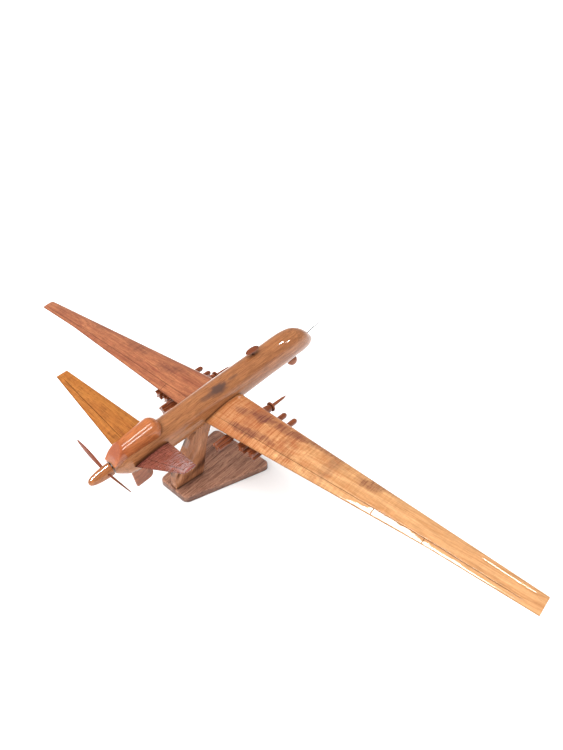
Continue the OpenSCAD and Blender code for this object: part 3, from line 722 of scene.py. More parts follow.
# %% [markdown]
# The ventral fin is a flat plate with one rounded corner. Its outline is inset ring by ring
# towards each face, which softens every edge.
# %% Ventral fin
def plate_rings(corners, thick, rounding, steps=4):
    """Rings of a flat plate in the XZ plane; corners are (x, z, corner radius)."""
    def outline(inset):
        points = []
        n = len(corners)
        for i, (x, z, r) in enumerate(corners):
            p = np.array([x, z])
            a, b = np.array(corners[i - 1][:2]), np.array(corners[(i + 1) % n][:2])
            da, db = (a - p) / np.linalg.norm(a - p), (b - p) / np.linalg.norm(b - p)
            half = math.acos(np.clip(da @ db, -1, 1)) / 2
            inward = (da + db) / np.linalg.norm(da + db)
            centre = p + inward * r / math.sin(half)
            turn = math.pi - 2 * half
            start = p + da * r / math.tan(half) - centre
            sign = np.sign(start[0] * (p - centre)[1] - start[1] * (p - centre)[0])
            for k in range(7):
                q = sign * turn * k / 6
                rot = np.array([[math.cos(q), -math.sin(q)], [math.sin(q), math.cos(q)]])
                points.append(centre + rot @ start * (r - inset) / r)
        return np.array(points)

    profile = [(-thick / 2, rounding * 1.9)]              # (y, inset), from one face
    profile += [(-thick / 2 + rounding * (1 - math.sin(a)), rounding * (1 - math.cos(a)))
                for a in (math.pi / 2 * k / steps for k in range(steps, -1, -1))]
    profile += [(-y, inset) for y, inset in reversed(profile)]
    rings = []
    for y, inset in profile:
        edge = outline(inset)
        rings.append(np.stack([edge[:, 0], np.full(len(edge), y), edge[:, 1]], 1))
    return rings


VENTRAL = [(-98.7, -8, 1.6), (-98.7, -33.5, 1.6), (-80.0, -33.5, 5.5), (-80.0, -8, 1.6)]
settle(skin("ventral_fin_plate", plate_rings(VENTRAL, 2.6, 0.7)), "aircraft", "ventral_fin",
       ventral_wood)

# %% [markdown]
# ## The cowl
# The cowl is carved separately and glued on the back. Its front is a rounded nose that stands
# clear of the fuselage by a thin dark gap, and its back is sawn off with the fuselage. The loft's
# underside is lifted to follow the fuselage just where that gap shows.
# %% Cowl
COWL_FRONT, COWL_NOSE, COWL_AFT = TAIL_X + 52.5, 9.0, TAIL_X
COWL_W, COWL_H, COWL_Z, COWL_TAPER = 10.8, 11.6, HALF_HEIGHT - 2.6, 0.22
LIP_GAP, LIP_LENGTH = 1.3, 7.0


def cowl_ring(x, n=80):
    d = max(0.0, x - COWL_FRONT + COWL_NOSE) / COWL_NOSE
    back = max(0.0, COWL_FRONT - COWL_NOSE - x) / (COWL_FRONT - COWL_NOSE - COWL_AFT)
    size = math.sqrt(max(0.0004, 1 - d * d)) * (1 - COWL_TAPER * back)
    c, s = circle(n)
    ring = np.stack([np.full(n, x), COWL_W * size * c, COWL_Z - 2 * back + COWL_H * size * s], 1)
    lift = min(1.0, max(0.0, (x - COWL_FRONT + LIP_LENGTH) / 2.5))
    if lift:
        w, h, z = hull_size(x)
        reach = np.clip(ring[:, 1] / (w + LIP_GAP), -1, 1)
        floor = z + (h + LIP_GAP) * np.sqrt(1 - reach**2)
        level = floor - (1 - lift) * (LIP_GAP + 1.5)
        ring[:, 2] = np.maximum(ring[:, 2], level)
    return ring


places = list(np.linspace(COWL_AFT, COWL_FRONT - LIP_LENGTH, 46)[:-1])
places += [COWL_FRONT - LIP_LENGTH + LIP_LENGTH * math.sin(math.pi / 2 * k / 30) for k in range(31)]
verts, faces = skin_parts([cowl_ring(x) for x in places])
settle(mesh_object("engine_cowl_shell", on_stand(sawn(verts, 0.7)), faces), "aircraft",
       "engine_cowl", cowl_wood)

# %% [markdown]
# ## Turned pieces
# The spinner, the bombs, the missiles, the sensor ball and the pins were turned on a lathe, so a
# profile spun about its axis is the true way to make them. A modifier could do the spinning, but
# plain rings leave a clean closed mesh.
# %% Spinner, pins, sensor and antenna
def place_on_axis(verts, x=0.0, y=0.0, z=0.0, pitch=0.0):
    """Turns points nose down by pitch degrees about Y, then moves them."""
    a = math.radians(pitch)
    turn = np.array([[math.cos(a), 0, -math.sin(a)], [0, 1, 0], [math.sin(a), 0, math.cos(a)]])
    return np.asarray(verts) @ turn + (x, y, z)


def turned(name, profile, x, y, z, pitch=0.0, n=48):
    verts, faces = lathe(profile, n)
    return mesh_object(name, on_stand(place_on_axis(verts, x, y, z, pitch)), faces)


THRUST_Z, SPIN_X = 3.4, TAIL_X - 0.8
SPINNER_R, SPINNER_LENGTH = 6.0, 21.5
profile = [(0, 0), (0, SPINNER_R - 0.5), (-0.15, SPINNER_R - 0.15)]
profile += [(-0.5 - (SPINNER_LENGTH - 0.5) * math.sin(a),
             max(0.0, SPINNER_R * max(0.0, math.cos(a)) ** 0.75))
            for a in np.linspace(0, math.pi / 2, 34)]
settle(turned("spinner_cone", profile, SPIN_X, 0, THRUST_Z, n=64), "propeller", "spinner",
       spinner_wood)

PROBE = dict(x=135.8, y=0, z=-2.3, pitch=-7.7)
needle = [(-9, 0), (-9, 0.5), (14, 0.5), (19, 0.34), (19.8, 0.2), (20, 0)]
settle(turned("nose_needle", needle, n=24, **PROBE), "aircraft", "nose_probe", dark_steel)

pin = [(-13, 0), (-13, 0.85), (-12.85, 1), (12, 1), (12, 0)]
settle(turned("propeller_axle", pin, TAIL_X, 0, THRUST_Z, n=24), "aircraft", "propeller_pin",
       dark_steel)

SENSOR, BALL_R = (107.2, 0, -HALF_HEIGHT - 5.2), 6.2
ball = [(BALL_R * -math.cos(a), BALL_R * math.sin(a)) for a in np.linspace(0, math.pi, 37)]
settle(turned("sensor_ball_bead", ball, *SENSOR, n=56), "aircraft", "sensor_ball",
       ventral_wood)
neck = [(0, 0), (0, 3.5), (0.3, 3.8), (4, 3.8), (8, 3.7), (8, 0)]
verts, faces = lathe(neck, 40)
settle(mesh_object("sensor_neck_turned", on_stand(verts[:, [1, 2, 0]]
                                                  + (SENSOR[0], 0, SENSOR[2] + 4)), faces),
       "aircraft", "sensor_neck", dark_wood)

STALK_X, STALK_R, CAP_Z = 56.9, 1.2, HALF_HEIGHT + 6
CAP = np.array([16.8, 7.6, 5.0])
stalk = [(HALF_HEIGHT - 4, 0), (HALF_HEIGHT - 4, STALK_R), (HALF_HEIGHT + 2.5, STALK_R),
         (CAP_Z - 1.2, 1.05), (CAP_Z - 0.5, STALK_R), (CAP_Z + 1, STALK_R), (CAP_Z + 1, 0)]
verts, faces = lathe(stalk, 28)
settle(mesh_object("antenna_post", on_stand(verts[:, [1, 2, 0]] + (STALK_X, 0, 0)), faces),
       "aircraft", "antenna_stalk", dark_wood)
# the dome's profile, in shares of the cap's half sizes
dome = [(-0.25, 0)] + [(-0.25 + 0.03 * k, 0.93 + 0.04 * math.sqrt(k / 4)) for k in range(5)]
dome += [(math.sin(a), math.cos(a)) for a in np.linspace(math.asin(-0.12), math.pi / 2, 18)]
verts, faces = lathe(dome, 48)
verts = verts[:, [1, 2, 0]] * CAP / 2 + (STALK_X, 0, CAP_Z)
settle(mesh_object("antenna_lens", on_stand(verts), faces), "aircraft", "antenna_cap",
       store_wood)

# %% [markdown]
# ## Propeller blades
# Two thin hand-carved blades are let into the spinner, and they don't quite make a straight
# line. Each section is a slim oval that gets narrower and turns flatter towards the tip.
# %% Blades
BLADE_R, BLADE_X = 40.0, -5.0
BLADE_SET, BLADE_TURN, BLADE_CHORD = 14, 8, 4.4
BLADE_THICK, BLADE_TIP_THICK, BLADE_END = 1.3, 0.8, 1.6
ROOT_PITCH, TIP_PITCH = 32, 62            # degrees


def blade_ring(r, n=28):
    t = (r - SPINNER_R) / (BLADE_R - SPINNER_R)
    end = math.sqrt(max(0.03, 1 - max(0, (r - BLADE_R + BLADE_END) / BLADE_END) ** 2))
    chord = BLADE_CHORD * (0.64 + 1.15 * t - 1.4 * t**3) * end
    thick = (BLADE_THICK + (BLADE_TIP_THICK - BLADE_THICK) * t) * (0.4 + 0.6 * end)
    turn = math.radians(ROOT_PITCH + (TIP_PITCH - ROOT_PITCH) * math.sqrt(max(t, 0)))
    c, s = circle(n)
    u, v = chord / 2 * c, thick / 2 * s
    return np.stack([u * math.cos(turn) - v * math.sin(turn), np.full(n, r),
                     u * math.sin(turn) + v * math.cos(turn)], 1)


radii = list(np.linspace(SPINNER_R - 2.6, BLADE_R - BLADE_END, 34))
radii += [BLADE_R - BLADE_END + BLADE_END * math.sin(math.pi / 2 * k / 6) for k in range(1, 7)]
for name, angle, node in (("port_blade_carved", BLADE_TURN + BLADE_SET, "port_blade"),
                          ("starboard_blade_carved", 180 + BLADE_TURN - BLADE_SET,
                           "starboard_blade")):
    verts, faces = skin_parts([blade_ring(r) for r in radii])
    verts = turned_about_x(verts, angle) + (SPIN_X + BLADE_X, 0, THRUST_Z)
    settle(mesh_object(name, on_stand(verts), faces), "propeller", node, blade_wood)

# %% [markdown]
# ## Weapons under the wings
# Each side carries one long bomb with a thin rod at its nose, and a pair of missiles on a small
# launcher. They hang nose down by two degrees. The four fins of each are the same plate set round
# the axis, which is exactly what Geometry Nodes does well: points in a row, the plate on each
# point, and a turn that grows with the point's number.
# %% Geometry Nodes: the same piece set round an axis, or along it
def repeat_tree(name):
    """Instances of the incoming mesh: each is turned by Turn and moved by Step more."""
    tree = bpy.data.node_groups.new(name, "GeometryNodeTree")
    face = tree.interface
    face.new_socket("Geometry", in_out="OUTPUT", socket_type="NodeSocketGeometry")
    for label, kind in (("Piece", "NodeSocketGeometry"), ("Count", "NodeSocketInt"),
                        ("First Turn", "NodeSocketFloat"), ("Turn", "NodeSocketFloat"),
                        ("Step", "NodeSocketFloat"), ("Material", "NodeSocketMaterial")):
        face.new_socket(label, in_out="INPUT", socket_type=kind)
    new, link = tree.nodes.new, tree.links.new
    start, end = new("NodeGroupInput"), new("NodeGroupOutput")
    points, number = new("GeometryNodePoints"), new("GeometryNodeInputIndex")
    link(start.outputs["Count"], points.inputs["Count"])

    def scaled(by, extra=None):
        made = new("ShaderNodeMath")
        made.operation = "MULTIPLY_ADD"
        link(number.outputs[0], made.inputs[0])
        link(by, made.inputs[1])
        made.inputs[2].default_value = 0
        if extra:
            link(extra, made.inputs[2])
        vector = new("ShaderNodeCombineXYZ")
        link(made.outputs[0], vector.inputs["X"])
        return vector.outputs[0]

    link(scaled(start.outputs["Step"]), points.inputs["Position"])
    place = new("GeometryNodeInstanceOnPoints")
    link(points.outputs[0], place.inputs["Points"])
    link(start.outputs["Piece"], place.inputs["Instance"])
    link(scaled(start.outputs["Turn"], start.outputs["First Turn"]), place.inputs["Rotation"])
    real, paint = new("GeometryNodeRealizeInstances"), new("GeometryNodeSetMaterial")
    link(place.outputs[0], real.inputs[0])
    link(real.outputs[0], paint.inputs["Geometry"])
    link(start.outputs["Material"], paint.inputs["Material"])
    link(paint.outputs[0], end.inputs[0])
    return tree


REPEAT = repeat_tree("set_in_a_row")


def repeated(piece, material, count, turn=0.0, first=0.0, step=0.0):
    """Points and faces of the piece repeated about and along X, from its points and faces."""
    source = bpy.data.meshes.new("repeat_source")
    source.from_pydata([tuple(v) for v in piece[0]], [], piece[1])
    holder = bpy.data.objects.new("repeat_holder", source)
    bpy.context.scene.collection.objects.link(holder)
    modifier = holder.modifiers.new("repeat", "NODES")
    modifier.node_group = REPEAT
    ids = {i.name: i.identifier for i in REPEAT.interface.items_tree if i.in_out == "INPUT"}
    for label, value in (("Count", count), ("First Turn", math.radians(first)),
                         ("Turn", math.radians(turn)), ("Step", float(step)),
                         ("Material", material)):
        modifier[ids[label]] = value
    graph = bpy.context.evaluated_depsgraph_get()
    made = bpy.data.meshes.new_from_object(holder.evaluated_get(graph))
    verts = np.array([v.co for v in made.vertices])
    faces = [tuple(p.vertices) for p in made.polygons]
    bpy.data.objects.remove(holder)
    bpy.data.meshes.remove(made)
    return verts, faces


# %% [markdown]
# The weapons themselves. The bomb's body has a stepped profile; the small radii at its edges are
# what the highlights run along.
# %% Bombs, missiles and their fins
DROOP = 2.0
BOMB_Y, BOMB_Z, BOMB_R, BOMB_NOSE, BOMB_TAIL, ROD = 40.5, -13.4, 4.3, 57.0, -34.0, 1.35
MISSILE_R, MISSILE_Z, MISSILE_NOSE, MISSILE_TAIL = 2.8, -17.6, 39.5, -20.0
LAUNCHER_Y, MISSILE_GAP = 62.0, 13.0

bomb_profile = [(BOMB_TAIL, 0), (BOMB_TAIL, 2.4), (BOMB_TAIL + 0.25, BOMB_R * 0.62),
                (-18, BOMB_R * 0.7), (-14, BOMB_R * 0.8), (-10, BOMB_R * 0.93), (-6, BOMB_R * 0.98),
                (-2, BOMB_R), (12, BOMB_R), (26.6, BOMB_R), (27.4, BOMB_R * 0.985),
                (30, BOMB_R * 0.92), (33.5, BOMB_R * 0.82), (34, BOMB_R * 0.78),
                (36.6, 2.1), (37, 1.85), (37.6, 1.74), (44, 1.6), (50.6, ROD), (51.4, ROD * 0.94),
                (54, 0.75), (56.2, 0.25), (BOMB_NOSE, 0)]
missile_profile = [(MISSILE_TAIL, 0), (MISSILE_TAIL, MISSILE_R - 0.25),
                   (MISSILE_TAIL + 0.25, MISSILE_R), (8, MISSILE_R), (20, MISSILE_R)]
missile_profile += [(MISSILE_NOSE - 3.64 + 3.64 * math.sin(a), MISSILE_R * math.cos(a))
                    for a in np.linspace(0, math.pi / 2, 12)]
collar_profile = [(34.2, 3.2), (34.2, 4.7), (34.5, 5.0), (35.7, 5.0), (36.0, 4.7), (36.0, 2.4)]


def fins(length, inner, outer, thick, start, material, first=0.0):
    """Four fins round the axis; start is the place of their aft edges."""
    verts, faces = plate((length, thick, outer - inner), 0.22, 2)
    verts = verts + (start + length / 2, 0, (inner + outer) / 2)
    return repeated((verts, faces), material, 4, turn=90, first=first)


def hung(name, piece, y, z):
    """A store's piece on its own axis, hung under the wing."""
    verts, faces = piece
    return mesh_object(name, on_stand(place_on_axis(verts, 0, y, z, DROOP)), faces)


for label, side in (("port", 1), ("starboard", -1)):
    y = side * BOMB_Y
    settle(hung(label + "_bomb_body", lathe(bomb_profile, 40), y, BOMB_Z), "aircraft",
           label + "_bomb", store_wood)
    settle(hung(label + "_bomb_ring", lathe(collar_profile, 40), y, BOMB_Z), "aircraft",
           label + "_bomb_collar", store_wood)
    settle(hung(label + "_bomb_vanes", fins(16, 1.3, 5.3, 1.7, BOMB_TAIL, fin_wood), y, BOMB_Z),
           "aircraft", label + "_bomb_fins", fin_wood)
    for where, place in (("inner", -0.5), ("outer", 0.5)):
        y = side * (LAUNCHER_Y + place * MISSILE_GAP)
        settle(hung("%s_%s_missile_body" % (label, where), lathe(missile_profile, 32), y,
                    MISSILE_Z), "aircraft", "%s_%s_missile" % (label, where),
               store_wood)
        settle(hung("%s_%s_vanes" % (label, where),
                    fins(10, 1.7, 5.4, 1.4, MISSILE_TAIL, fin_wood, 45), y, MISSILE_Z), "aircraft",
               "%s_%s_fins" % (label, where), fin_wood)

# %% [markdown]
# Pylons and launchers are small slips of wood with every edge eased by sandpaper. They are set
# where the engineering model has them.
# %% Pylons and launchers
HANGER_WIDE, HANGER_LONG = 3.2, 26.0
BOMB_HANGER_TOP, BOMB_HANGER_FOOT = -3.2, -9.6
MISSILE_HANGER_TOP = -2.2
PLATE_Z, PLATE_THICK = MISSILE_Z + MISSILE_R + 1, 2.4
LAUNCHER_AFT, LAUNCHER_FRONT, RAIL_WIDE = MISSILE_TAIL + 10.6, 13.0, 2.0


def slip(name, sizes, places, node, material, rounding=0.35):
    """One or more small blocks: (length, width, height) at (x, y, z), glued into one piece."""
    parts = []
    for size, place, eased in zip(sizes, places, np.broadcast_to(rounding, len(sizes))):
        verts, faces = plate(size, float(eased))
        parts.append((verts + place, faces))
    verts, faces = joined(parts)
    settle(mesh_object(name, on_stand(verts), faces), "aircraft", node, material)


for label, side in (("port", 1), ("starboard", -1)):
    slip(label + "_bomb_hanger",
         [(HANGER_LONG, HANGER_WIDE, BOMB_HANGER_TOP - BOMB_HANGER_FOOT)],
         [(0, side * BOMB_Y, (BOMB_HANGER_TOP + BOMB_HANGER_FOOT) / 2)],
         label + "_bomb_pylon", store_wood)
    middle, length = (LAUNCHER_AFT + LAUNCHER_FRONT) / 2, LAUNCHER_FRONT - LAUNCHER_AFT
    plate_top, y = PLATE_Z + PLATE_THICK, side * LAUNCHER_Y
    slip(label + "_missile_hanger",
         [(length - 2, HANGER_WIDE, MISSILE_HANGER_TOP - plate_top)],
         [(middle, y, (MISSILE_HANGER_TOP + plate_top) / 2)],
         label + "_missile_pylon", store_wood)
    rail = (length, RAIL_WIDE, PLATE_Z - MISSILE_Z - 1.0)
    rail_z = (PLATE_Z + MISSILE_Z) / 2 + 0.6
    slip(label + "_launcher_rails",
         [(length, MISSILE_GAP + RAIL_WIDE, PLATE_THICK), rail, rail],
         [(middle, y, PLATE_Z + PLATE_THICK / 2), (middle, y - side * MISSILE_GAP / 2, rail_z),
          (middle, y + side * MISSILE_GAP / 2, rail_z)],
         label + "_launcher", fin_wood, (0.35, 0.2, 0.2))

# %% [markdown]
# ## The stand
# The base is a flat board, narrow at the back, with round corners and a well eased top edge. Its
# outline is drawn as the hull of four corner circles, so an inset outline only needs smaller
# circles, and a stack of insets gives the rounded edge.
# %% Base board
low, high = (np.array(v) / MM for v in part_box("base_board"))
BASE_THICK = high[2]
BASE_REAR, CORNER = 43.0, 6.5
CORNERS = [(low[0] + CORNER, -BASE_REAR / 2 + CORNER), (high[0] - CORNER, low[1] + CORNER),
           (high[0] - CORNER, high[1] - CORNER), (low[0] + CORNER, BASE_REAR / 2 - CORNER)]


def board_ring(inset, z, steps=12):
    points = []
    for i, (x, y) in enumerate(CORNERS):
        (before_x, before_y), (after_x, after_y) = CORNERS[i - 1], CORNERS[(i + 1) % 4]
        start = math.atan2(before_x - x, y - before_y)
        end = math.atan2(x - after_x, after_y - y)
        if end < start:
            end += 2 * math.pi
        for a in (start + (end - start) * k / steps for k in range(steps + 1)):
            points.append((x + (CORNER - inset) * math.cos(a), y + (CORNER - inset) * math.sin(a),
                           z))
    return np.array(points)


TOP_ROUND, FOOT_ROUND = 1.9, 0.6
rings = [board_ring(FOOT_ROUND + 1.0, 0)]
rings += [board_ring(FOOT_ROUND * (1 - math.sin(a)), FOOT_ROUND * (1 - math.cos(a)))
          for a in np.linspace(0, math.pi / 2, 4)]
rings += [board_ring(TOP_ROUND * (1 - math.cos(a)), BASE_THICK - TOP_ROUND * (1 - math.sin(a)))
          for a in np.linspace(0, math.pi / 2, 9)]
rings += [board_ring(TOP_ROUND + 1.0, BASE_THICK)]
base = skin("base_board_slab", rings, flying=False)


def carved_out(obj, cutters):
    """Cuts pieces out of obj exactly, and leaves a plain mesh."""
    for cutter in cutters:
        modifier = obj.modifiers.new("cut", "BOOLEAN")
        modifier.operation, modifier.solver, modifier.object = "DIFFERENCE", "EXACT", cutter
    graph = bpy.context.evaluated_depsgraph_get()
    made = bpy.data.meshes.new_from_object(obj.evaluated_get(graph))
    obj.modifiers.clear()
    obj.data = made
    made.set_sharp_from_angle(angle=SHARP)
    for cutter in cutters:
        bpy.data.objects.remove(cutter)


# %% [markdown]
# Two countersunk screws come up through the board into the arm. They are seen only from below,
# but there a flat disc would look like a mistake, so the heads get their cross slots, and the
# board gets its countersinks. One screw is modelled and Geometry Nodes set the pair.
# %% Screws
SCREW_X = (low[0] + 11.5, low[0] + 25.5)
SCREW_R, HEAD_R, HEAD_H, RECESS = 1.7, 3.4, 2.2, 0.4
THREAD_END, THREAD_PITCH, THREAD_DEPTH, SCREW_GAP = 22.0, 1.0, 0.4, 0.05


def upright(piece, x=0.0):
    verts, faces = piece
    return verts[:, [1, 2, 0]] + (x, 0, 0), faces


def screw_head():
    """The turned screw with a cross slot sunk into its head."""
    body = [(RECESS, 0), (RECESS, 2.7), (RECESS, HEAD_R - 0.1), (RECESS + 0.12, HEAD_R),
            (RECESS + HEAD_H, SCREW_R)]
    z = RECESS + HEAD_H
    while z < THREAD_END:
        body += [(z + THREAD_PITCH / 2, SCREW_R - THREAD_DEPTH), (z + THREAD_PITCH, SCREW_R)]
        z += THREAD_PITCH
    body += [(z + 1.2, 0.4), (z + 1.2, 0)]
    verts, faces = upright(lathe(body, 32))
    head = mesh_object("screw_master", verts, faces)
    slots = []
    for size in ((3.8, 0.7, 1.6), (0.7, 3.8, 1.6)):
        v, f = plate(size, 0.12, 1)
        slots.append(mesh_object("slot", v + (0, 0, RECESS), f))
    carved_out(head, slots)
    verts = np.array([v.co for v in head.data.vertices]) / MM
    faces = [tuple(p.vertices) for p in head.data.polygons]
    bpy.data.objects.remove(head)
    return verts, faces


countersinks = []
for x in SCREW_X:
    wide, narrow, top = HEAD_R + SCREW_GAP, SCREW_R + SCREW_GAP, BASE_THICK - 0.5
    verts, faces = upright(lathe([(-1, 0), (-1, wide), (RECESS, wide), (RECESS + HEAD_H, narrow),
                                  (top, narrow), (top, 0)], 32), x)
    countersinks.append(mesh_object("countersink", verts, faces))
carved_out(base, countersinks)
settle(base, "stand", "base_board", base_wood)
verts, faces = repeated(screw_head(), screw_steel, 2, step=SCREW_X[1] - SCREW_X[0])
settle(mesh_object("base_screws", verts + (SCREW_X[0], 0, 0), faces), "stand", "arm_screws",
       screw_steel)

# %% [markdown]
# The arm is band-sawn from a 9 mm board to a long S and has its edges rounded over. Its top is
# hollowed to cradle the fuselage, and a dowel there plugs into a hole in the fuselage. The hollow
# is cut with the fuselage itself, grown by the small gap that lets the aircraft lift off.
# %% Arm and peg
AXIS_HEIGHT = round(ORIGIN[2], 1)         # of the aircraft's axis above the table
ARM_TOP_Z = AXIS_HEIGHT - HALF_HEIGHT - 6
FOOT_X = low[0] + 2
ARM_THICK, ARM_ROUND, SADDLE_GAP = 9.0, 1.1, 0.3


def bezier(points, n):
    t = np.linspace(0, 1, n + 1)[:, None]
    p = [np.array(q, float) for q in points]
    return (1 - t)**3 * p[0] + 3 * (1 - t)**2 * t * p[1] + 3 * (1 - t) * t**2 * p[2] + t**3 * p[3]


front = bezier([(FOOT_X + 31.5, BASE_THICK), (-5.5, 0.43 * ARM_TOP_Z), (-5, 0.78 * ARM_TOP_Z),
                (4.5, ARM_TOP_Z)], 28)
back = bezier([(-14.5, ARM_TOP_Z), (-24, 0.82 * ARM_TOP_Z), (-33, 0.55 * ARM_TOP_Z),
               (FOOT_X, BASE_THICK + 12)], 24)
outline = np.vstack([front, [(4.5, ARM_TOP_Z + 12), (-14.5, ARM_TOP_Z + 12)], back,
                     [(FOOT_X, BASE_THICK)]])
work = bmesh.new()
near = [work.verts.new((x, -ARM_THICK / 2, z)) for x, z in outline]
far = [work.verts.new((x, ARM_THICK / 2, z)) for x, z in outline]
work.faces.new(near)
work.faces.new(far[::-1])
for i in range(len(outline)):
    j = (i + 1) % len(outline)
    work.faces.new((near[j], near[i], far[i], far[j]))
rims = [e for e in work.edges if abs(e.verts[0].co.y - e.verts[1].co.y) < 1e-6]
bmesh.ops.bevel(work, geom=rims, offset=ARM_ROUND, segments=3, affect="EDGES", profile=0.5)
work.verts.index_update()
verts = np.array([v.co for v in work.verts])
faces = [tuple(v.index for v in f.verts) for f in work.faces]
work.free()
arm = mesh_object("stand_arm_curve", verts, faces)
verts, faces = skin_parts(hull_rings(90, 96, grow=SADDLE_GAP))
saddle = mesh_object("saddle", on_stand(verts), faces)
carved_out(arm, [saddle])
work = bmesh.new()
work.from_mesh(arm.data)
above = [v for v in work.verts if in_aircraft(v.co)[2] > 0]
bmesh.ops.delete(work, geom=above, context="VERTS")
work.to_mesh(arm.data)
work.free()
settle(arm, "stand", "stand_arm", arm_wood)

PEG_X, PEG_R, PEG_DOWN, PEG_UP = -15.0, 2.5, 14, 10
peg = [(-PEG_DOWN, 0), (-PEG_DOWN, PEG_R), (PEG_UP - 0.8, PEG_R), (PEG_UP, PEG_R - 0.7),
       (PEG_UP, 0)]
verts, faces = lathe(peg, 32)
verts = verts[:, [1, 2, 0]] + (PEG_X, 0, -HALF_HEIGHT)
settle(mesh_object("stand_peg_dowel", on_stand(verts), faces), "stand", "stand_peg",
       dowel_wood)

# %% [markdown]
# The glued dowels and pins inside the joints stay as the engineering model has them, in plain
# dowel wood. They are inside the pieces, so only a cut-away view shows them.
# %% Hidden dowels
for name in ("wing_dowels", "cowl_dowel", "tail_pins", "ventral_pin"):
    node = frame["nodes"][name]
    node.data.materials.clear()
    node.data.materials.append(dowel_wood)
    print("dowels kept:", name)

# %% [markdown]
# ## The room
# The model stands on a plain pale floor, which lies a hair below the board so that the two never
# share a plane. The light is soft and white, with a few small panels for the glossy wood: one
# behind the model that slides a wide glare along the back of the starboard wing, and others
# overhead that draw crisp lines on the cowl, the spinner and the nose.
# %% Floor
def floor_material():
    f = Finish("pale_floor")
    tone = f.noise(f.vector("MULTIPLY", f.place, (3.0, 3.0, 3.0)), 2)
    f.put(f.shader.inputs["Base Color"], f.blend(tone, (0.93, 0.93, 0.93), (0.91, 0.91, 0.91)))
    f.shader.inputs["Roughness"].default_value = 0.9
    f.shader.inputs["Specular IOR Level"].default_value = 0.1
    return f.material


FLOOR_HALF, FLOOR_Z = 6000.0, -0.2
floor = mesh_object("studio_floor", [(x * FLOOR_HALF, y * FLOOR_HALF, FLOOR_Z) for x, y in
                                     ((-1, -1), (1, -1), (1, 1), (-1, 1))], [(0, 1, 2, 3)])
floor.data.materials.append(floor_material())

# %% Camera
EYE = Vector((-250.66, -340.62, 369.06)) * MM
LOOK = Vector((0.61529, 0.58946, -0.52341))
camera_data = bpy.data.cameras.new("camera")
camera_data.sensor_fit = "AUTO"
camera_data.sensor_width = 36.0
camera_data.lens = 26.0
camera_data.clip_start = 0.01
camera_data.clip_end = 50.0
camera = bpy.data.objects.new("camera", camera_data)
camera.location = EYE
camera.rotation_euler = LOOK.to_track_quat("-Z", "Y").to_euler()
bpy.context.scene.collection.objects.link(camera)
bpy.context.scene.camera = camera
print("camera at", [round(c, 3) for c in EYE])

# %% [markdown]
# A glossy surface shows a light where its face lies half way between the eye and the light. So
# each panel is placed along the reflected line of sight from the very point that should shine.
# It is linked to that one piece, as flags keep a studio light off everything else. Two wide suns
# give the wood its even light.
# %% Lights
def area_light(name, place, away, along, width, length, watts):
    """A rectangle of light at place that shines against away, its length turned along."""
    data = bpy.data.lights.new(name, "AREA")
    data.shape, data.size, data.size_y, data.energy = "RECTANGLE", width, length, watts
    light = bpy.data.objects.new(name, data)
    back = Vector(away).normalized()
    up = (Vector(along) - Vector(along).dot(back) * back).normalized()
    side = up.cross(back)
    light.matrix_world = Matrix.Translation(place) @ Matrix((side, up, back)).transposed().to_4x4()
    bpy.context.scene.collection.objects.link(light)
    print("%-14s at %s" % (name, [round(c, 2) for c in light.location]))
    return light


def panel(name, piece, target, facing, distance, width, length, brightness, turn):
    """A panel where the eye sees it mirrored at target, which faces along facing, both in the
    aircraft's axes. Distance, width and length along the aircraft are in metres, and turn is in
    degrees. It reaches one piece only, and only its lacquer."""
    spot = Vector(on_stand(target)) * MM
    normal = Vector(np.array(facing, float) @ AXES).normalized()
    sight = (spot - EYE).normalized()
    away = (sight - 2 * sight.dot(normal) * normal).normalized()
    along = Matrix.Rotation(math.radians(turn), 3, away) @ Vector(FORWARD)
    light = area_light(name, spot + away * distance, away, along, width, length,
                       brightness * math.pi * width * length)
    light.visible_diffuse = False
    lit = bpy.data.collections.new(name + "_reaches")
    lit.objects.link(bpy.data.objects[piece])
    light.light_linking.receiver_collection = lit


WING, HULL, COWL = "starboard_wing_panel", "fuselage_hull", "engine_cowl_shell"
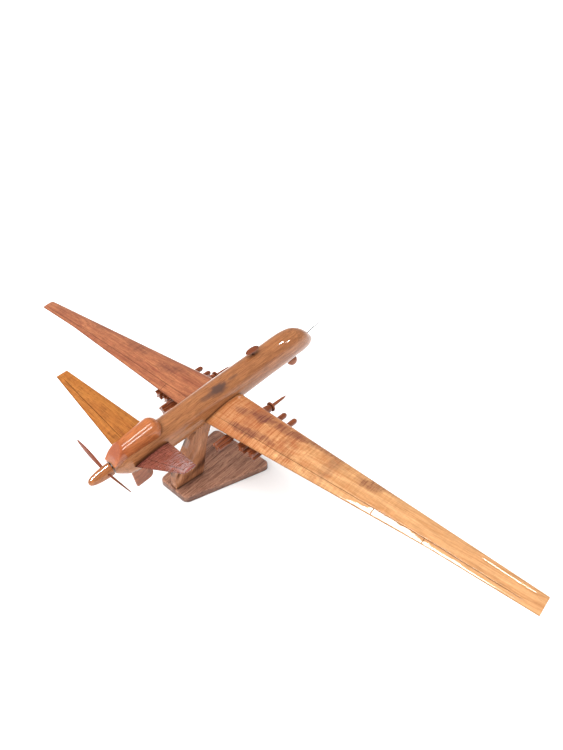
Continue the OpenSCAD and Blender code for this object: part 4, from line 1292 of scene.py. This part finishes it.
# name, piece, target, facing, distance, width, length, brightness, turn
for row in (
        ("flap_glare", WING, (-13.5, -230, 3), (-0.305, 0.02, 1), 1.5, 0.52, 0.30, 30, -35),
        ("tip_glare", WING, (-4, -294, 5), (0.055, 0.02, 1), 1.3, 0.17, 0.06, 45, 0),
        ("ridge_one", COWL, (-85, -5.4, 21), (-0.08, -0.48, 0.87), 0.5, 0.02, 0.14, 70, 0),
        ("ridge_two", COWL, (-85, -6.8, 20), (-0.08, -0.70, 0.71), 0.5, 0.02, 0.12, 60, 0),
        ("spinner_line", "spinner_cone", (-122, -1.5, 8.5), (-0.25, -0.25, 0.93), 0.4, 0.03,
         0.40, 450, 0),
        ("nose_spot_one", HULL, (87, -8, 14.9), (-0.01, -0.577, 0.817), 0.9, 0.05, 0.04, 160, 0),
        ("nose_spot_two", HULL, (99, -10, 13.2), (0.02, -0.71, 0.70), 0.9, 0.03, 0.06, 160, 0)):
    panel(*row)


def soft_sun(name, direction, spread, strength):
    """Even light from far away; spread is its apparent size in degrees. A lacquer that mirrored
    so wide a light would look milky, so it only lights the wood."""
    data = bpy.data.lights.new(name, "SUN")
    data.angle, data.energy = math.radians(spread), strength
    light = bpy.data.objects.new(name, data)
    light.rotation_euler = Vector(direction).to_track_quat("Z", "Y").to_euler()
    light.visible_glossy = False
    bpy.context.scene.collection.objects.link(light)


soft_sun("left_sun", (-0.45, 0.4, 0.9), 80, 3.5)
soft_sun("right_sun", (-0.65, -0.6, 1.0), 80, 3.6)

# %% [markdown]
# The air around the model is bright near the horizon, so that floor and backdrop run into each
# other, and dimmer above, because a lacquer that mirrors a white ceiling looks milky.
# %% Surroundings
world = bpy.data.worlds.new("studio")
world.use_nodes = True
bpy.context.scene.world = world
tree = world.node_tree
direction = tree.nodes.new("ShaderNodeTexCoord").outputs["Generated"]
split = tree.nodes.new("ShaderNodeSeparateXYZ")
height = tree.nodes.new("ShaderNodeMapRange")
height.interpolation_type = "SMOOTHSTEP"
tree.links.new(direction, split.inputs[0])
tree.links.new(split.outputs["Z"], height.inputs["Value"])
for label, value in (("From Min", 0.05), ("From Max", 0.30), ("To Min", 1.15),
                     ("To Max", 0.32)):
    height.inputs[label].default_value = value
tree.links.new(height.outputs[0], tree.nodes["Background"].inputs["Strength"])
tree.nodes["Background"].inputs["Color"].default_value = (1, 1, 1, 1)
bpy.context.scene.view_settings.view_transform = "Standard"

# %% Bring the scene up to date
bpy.context.view_layer.update()
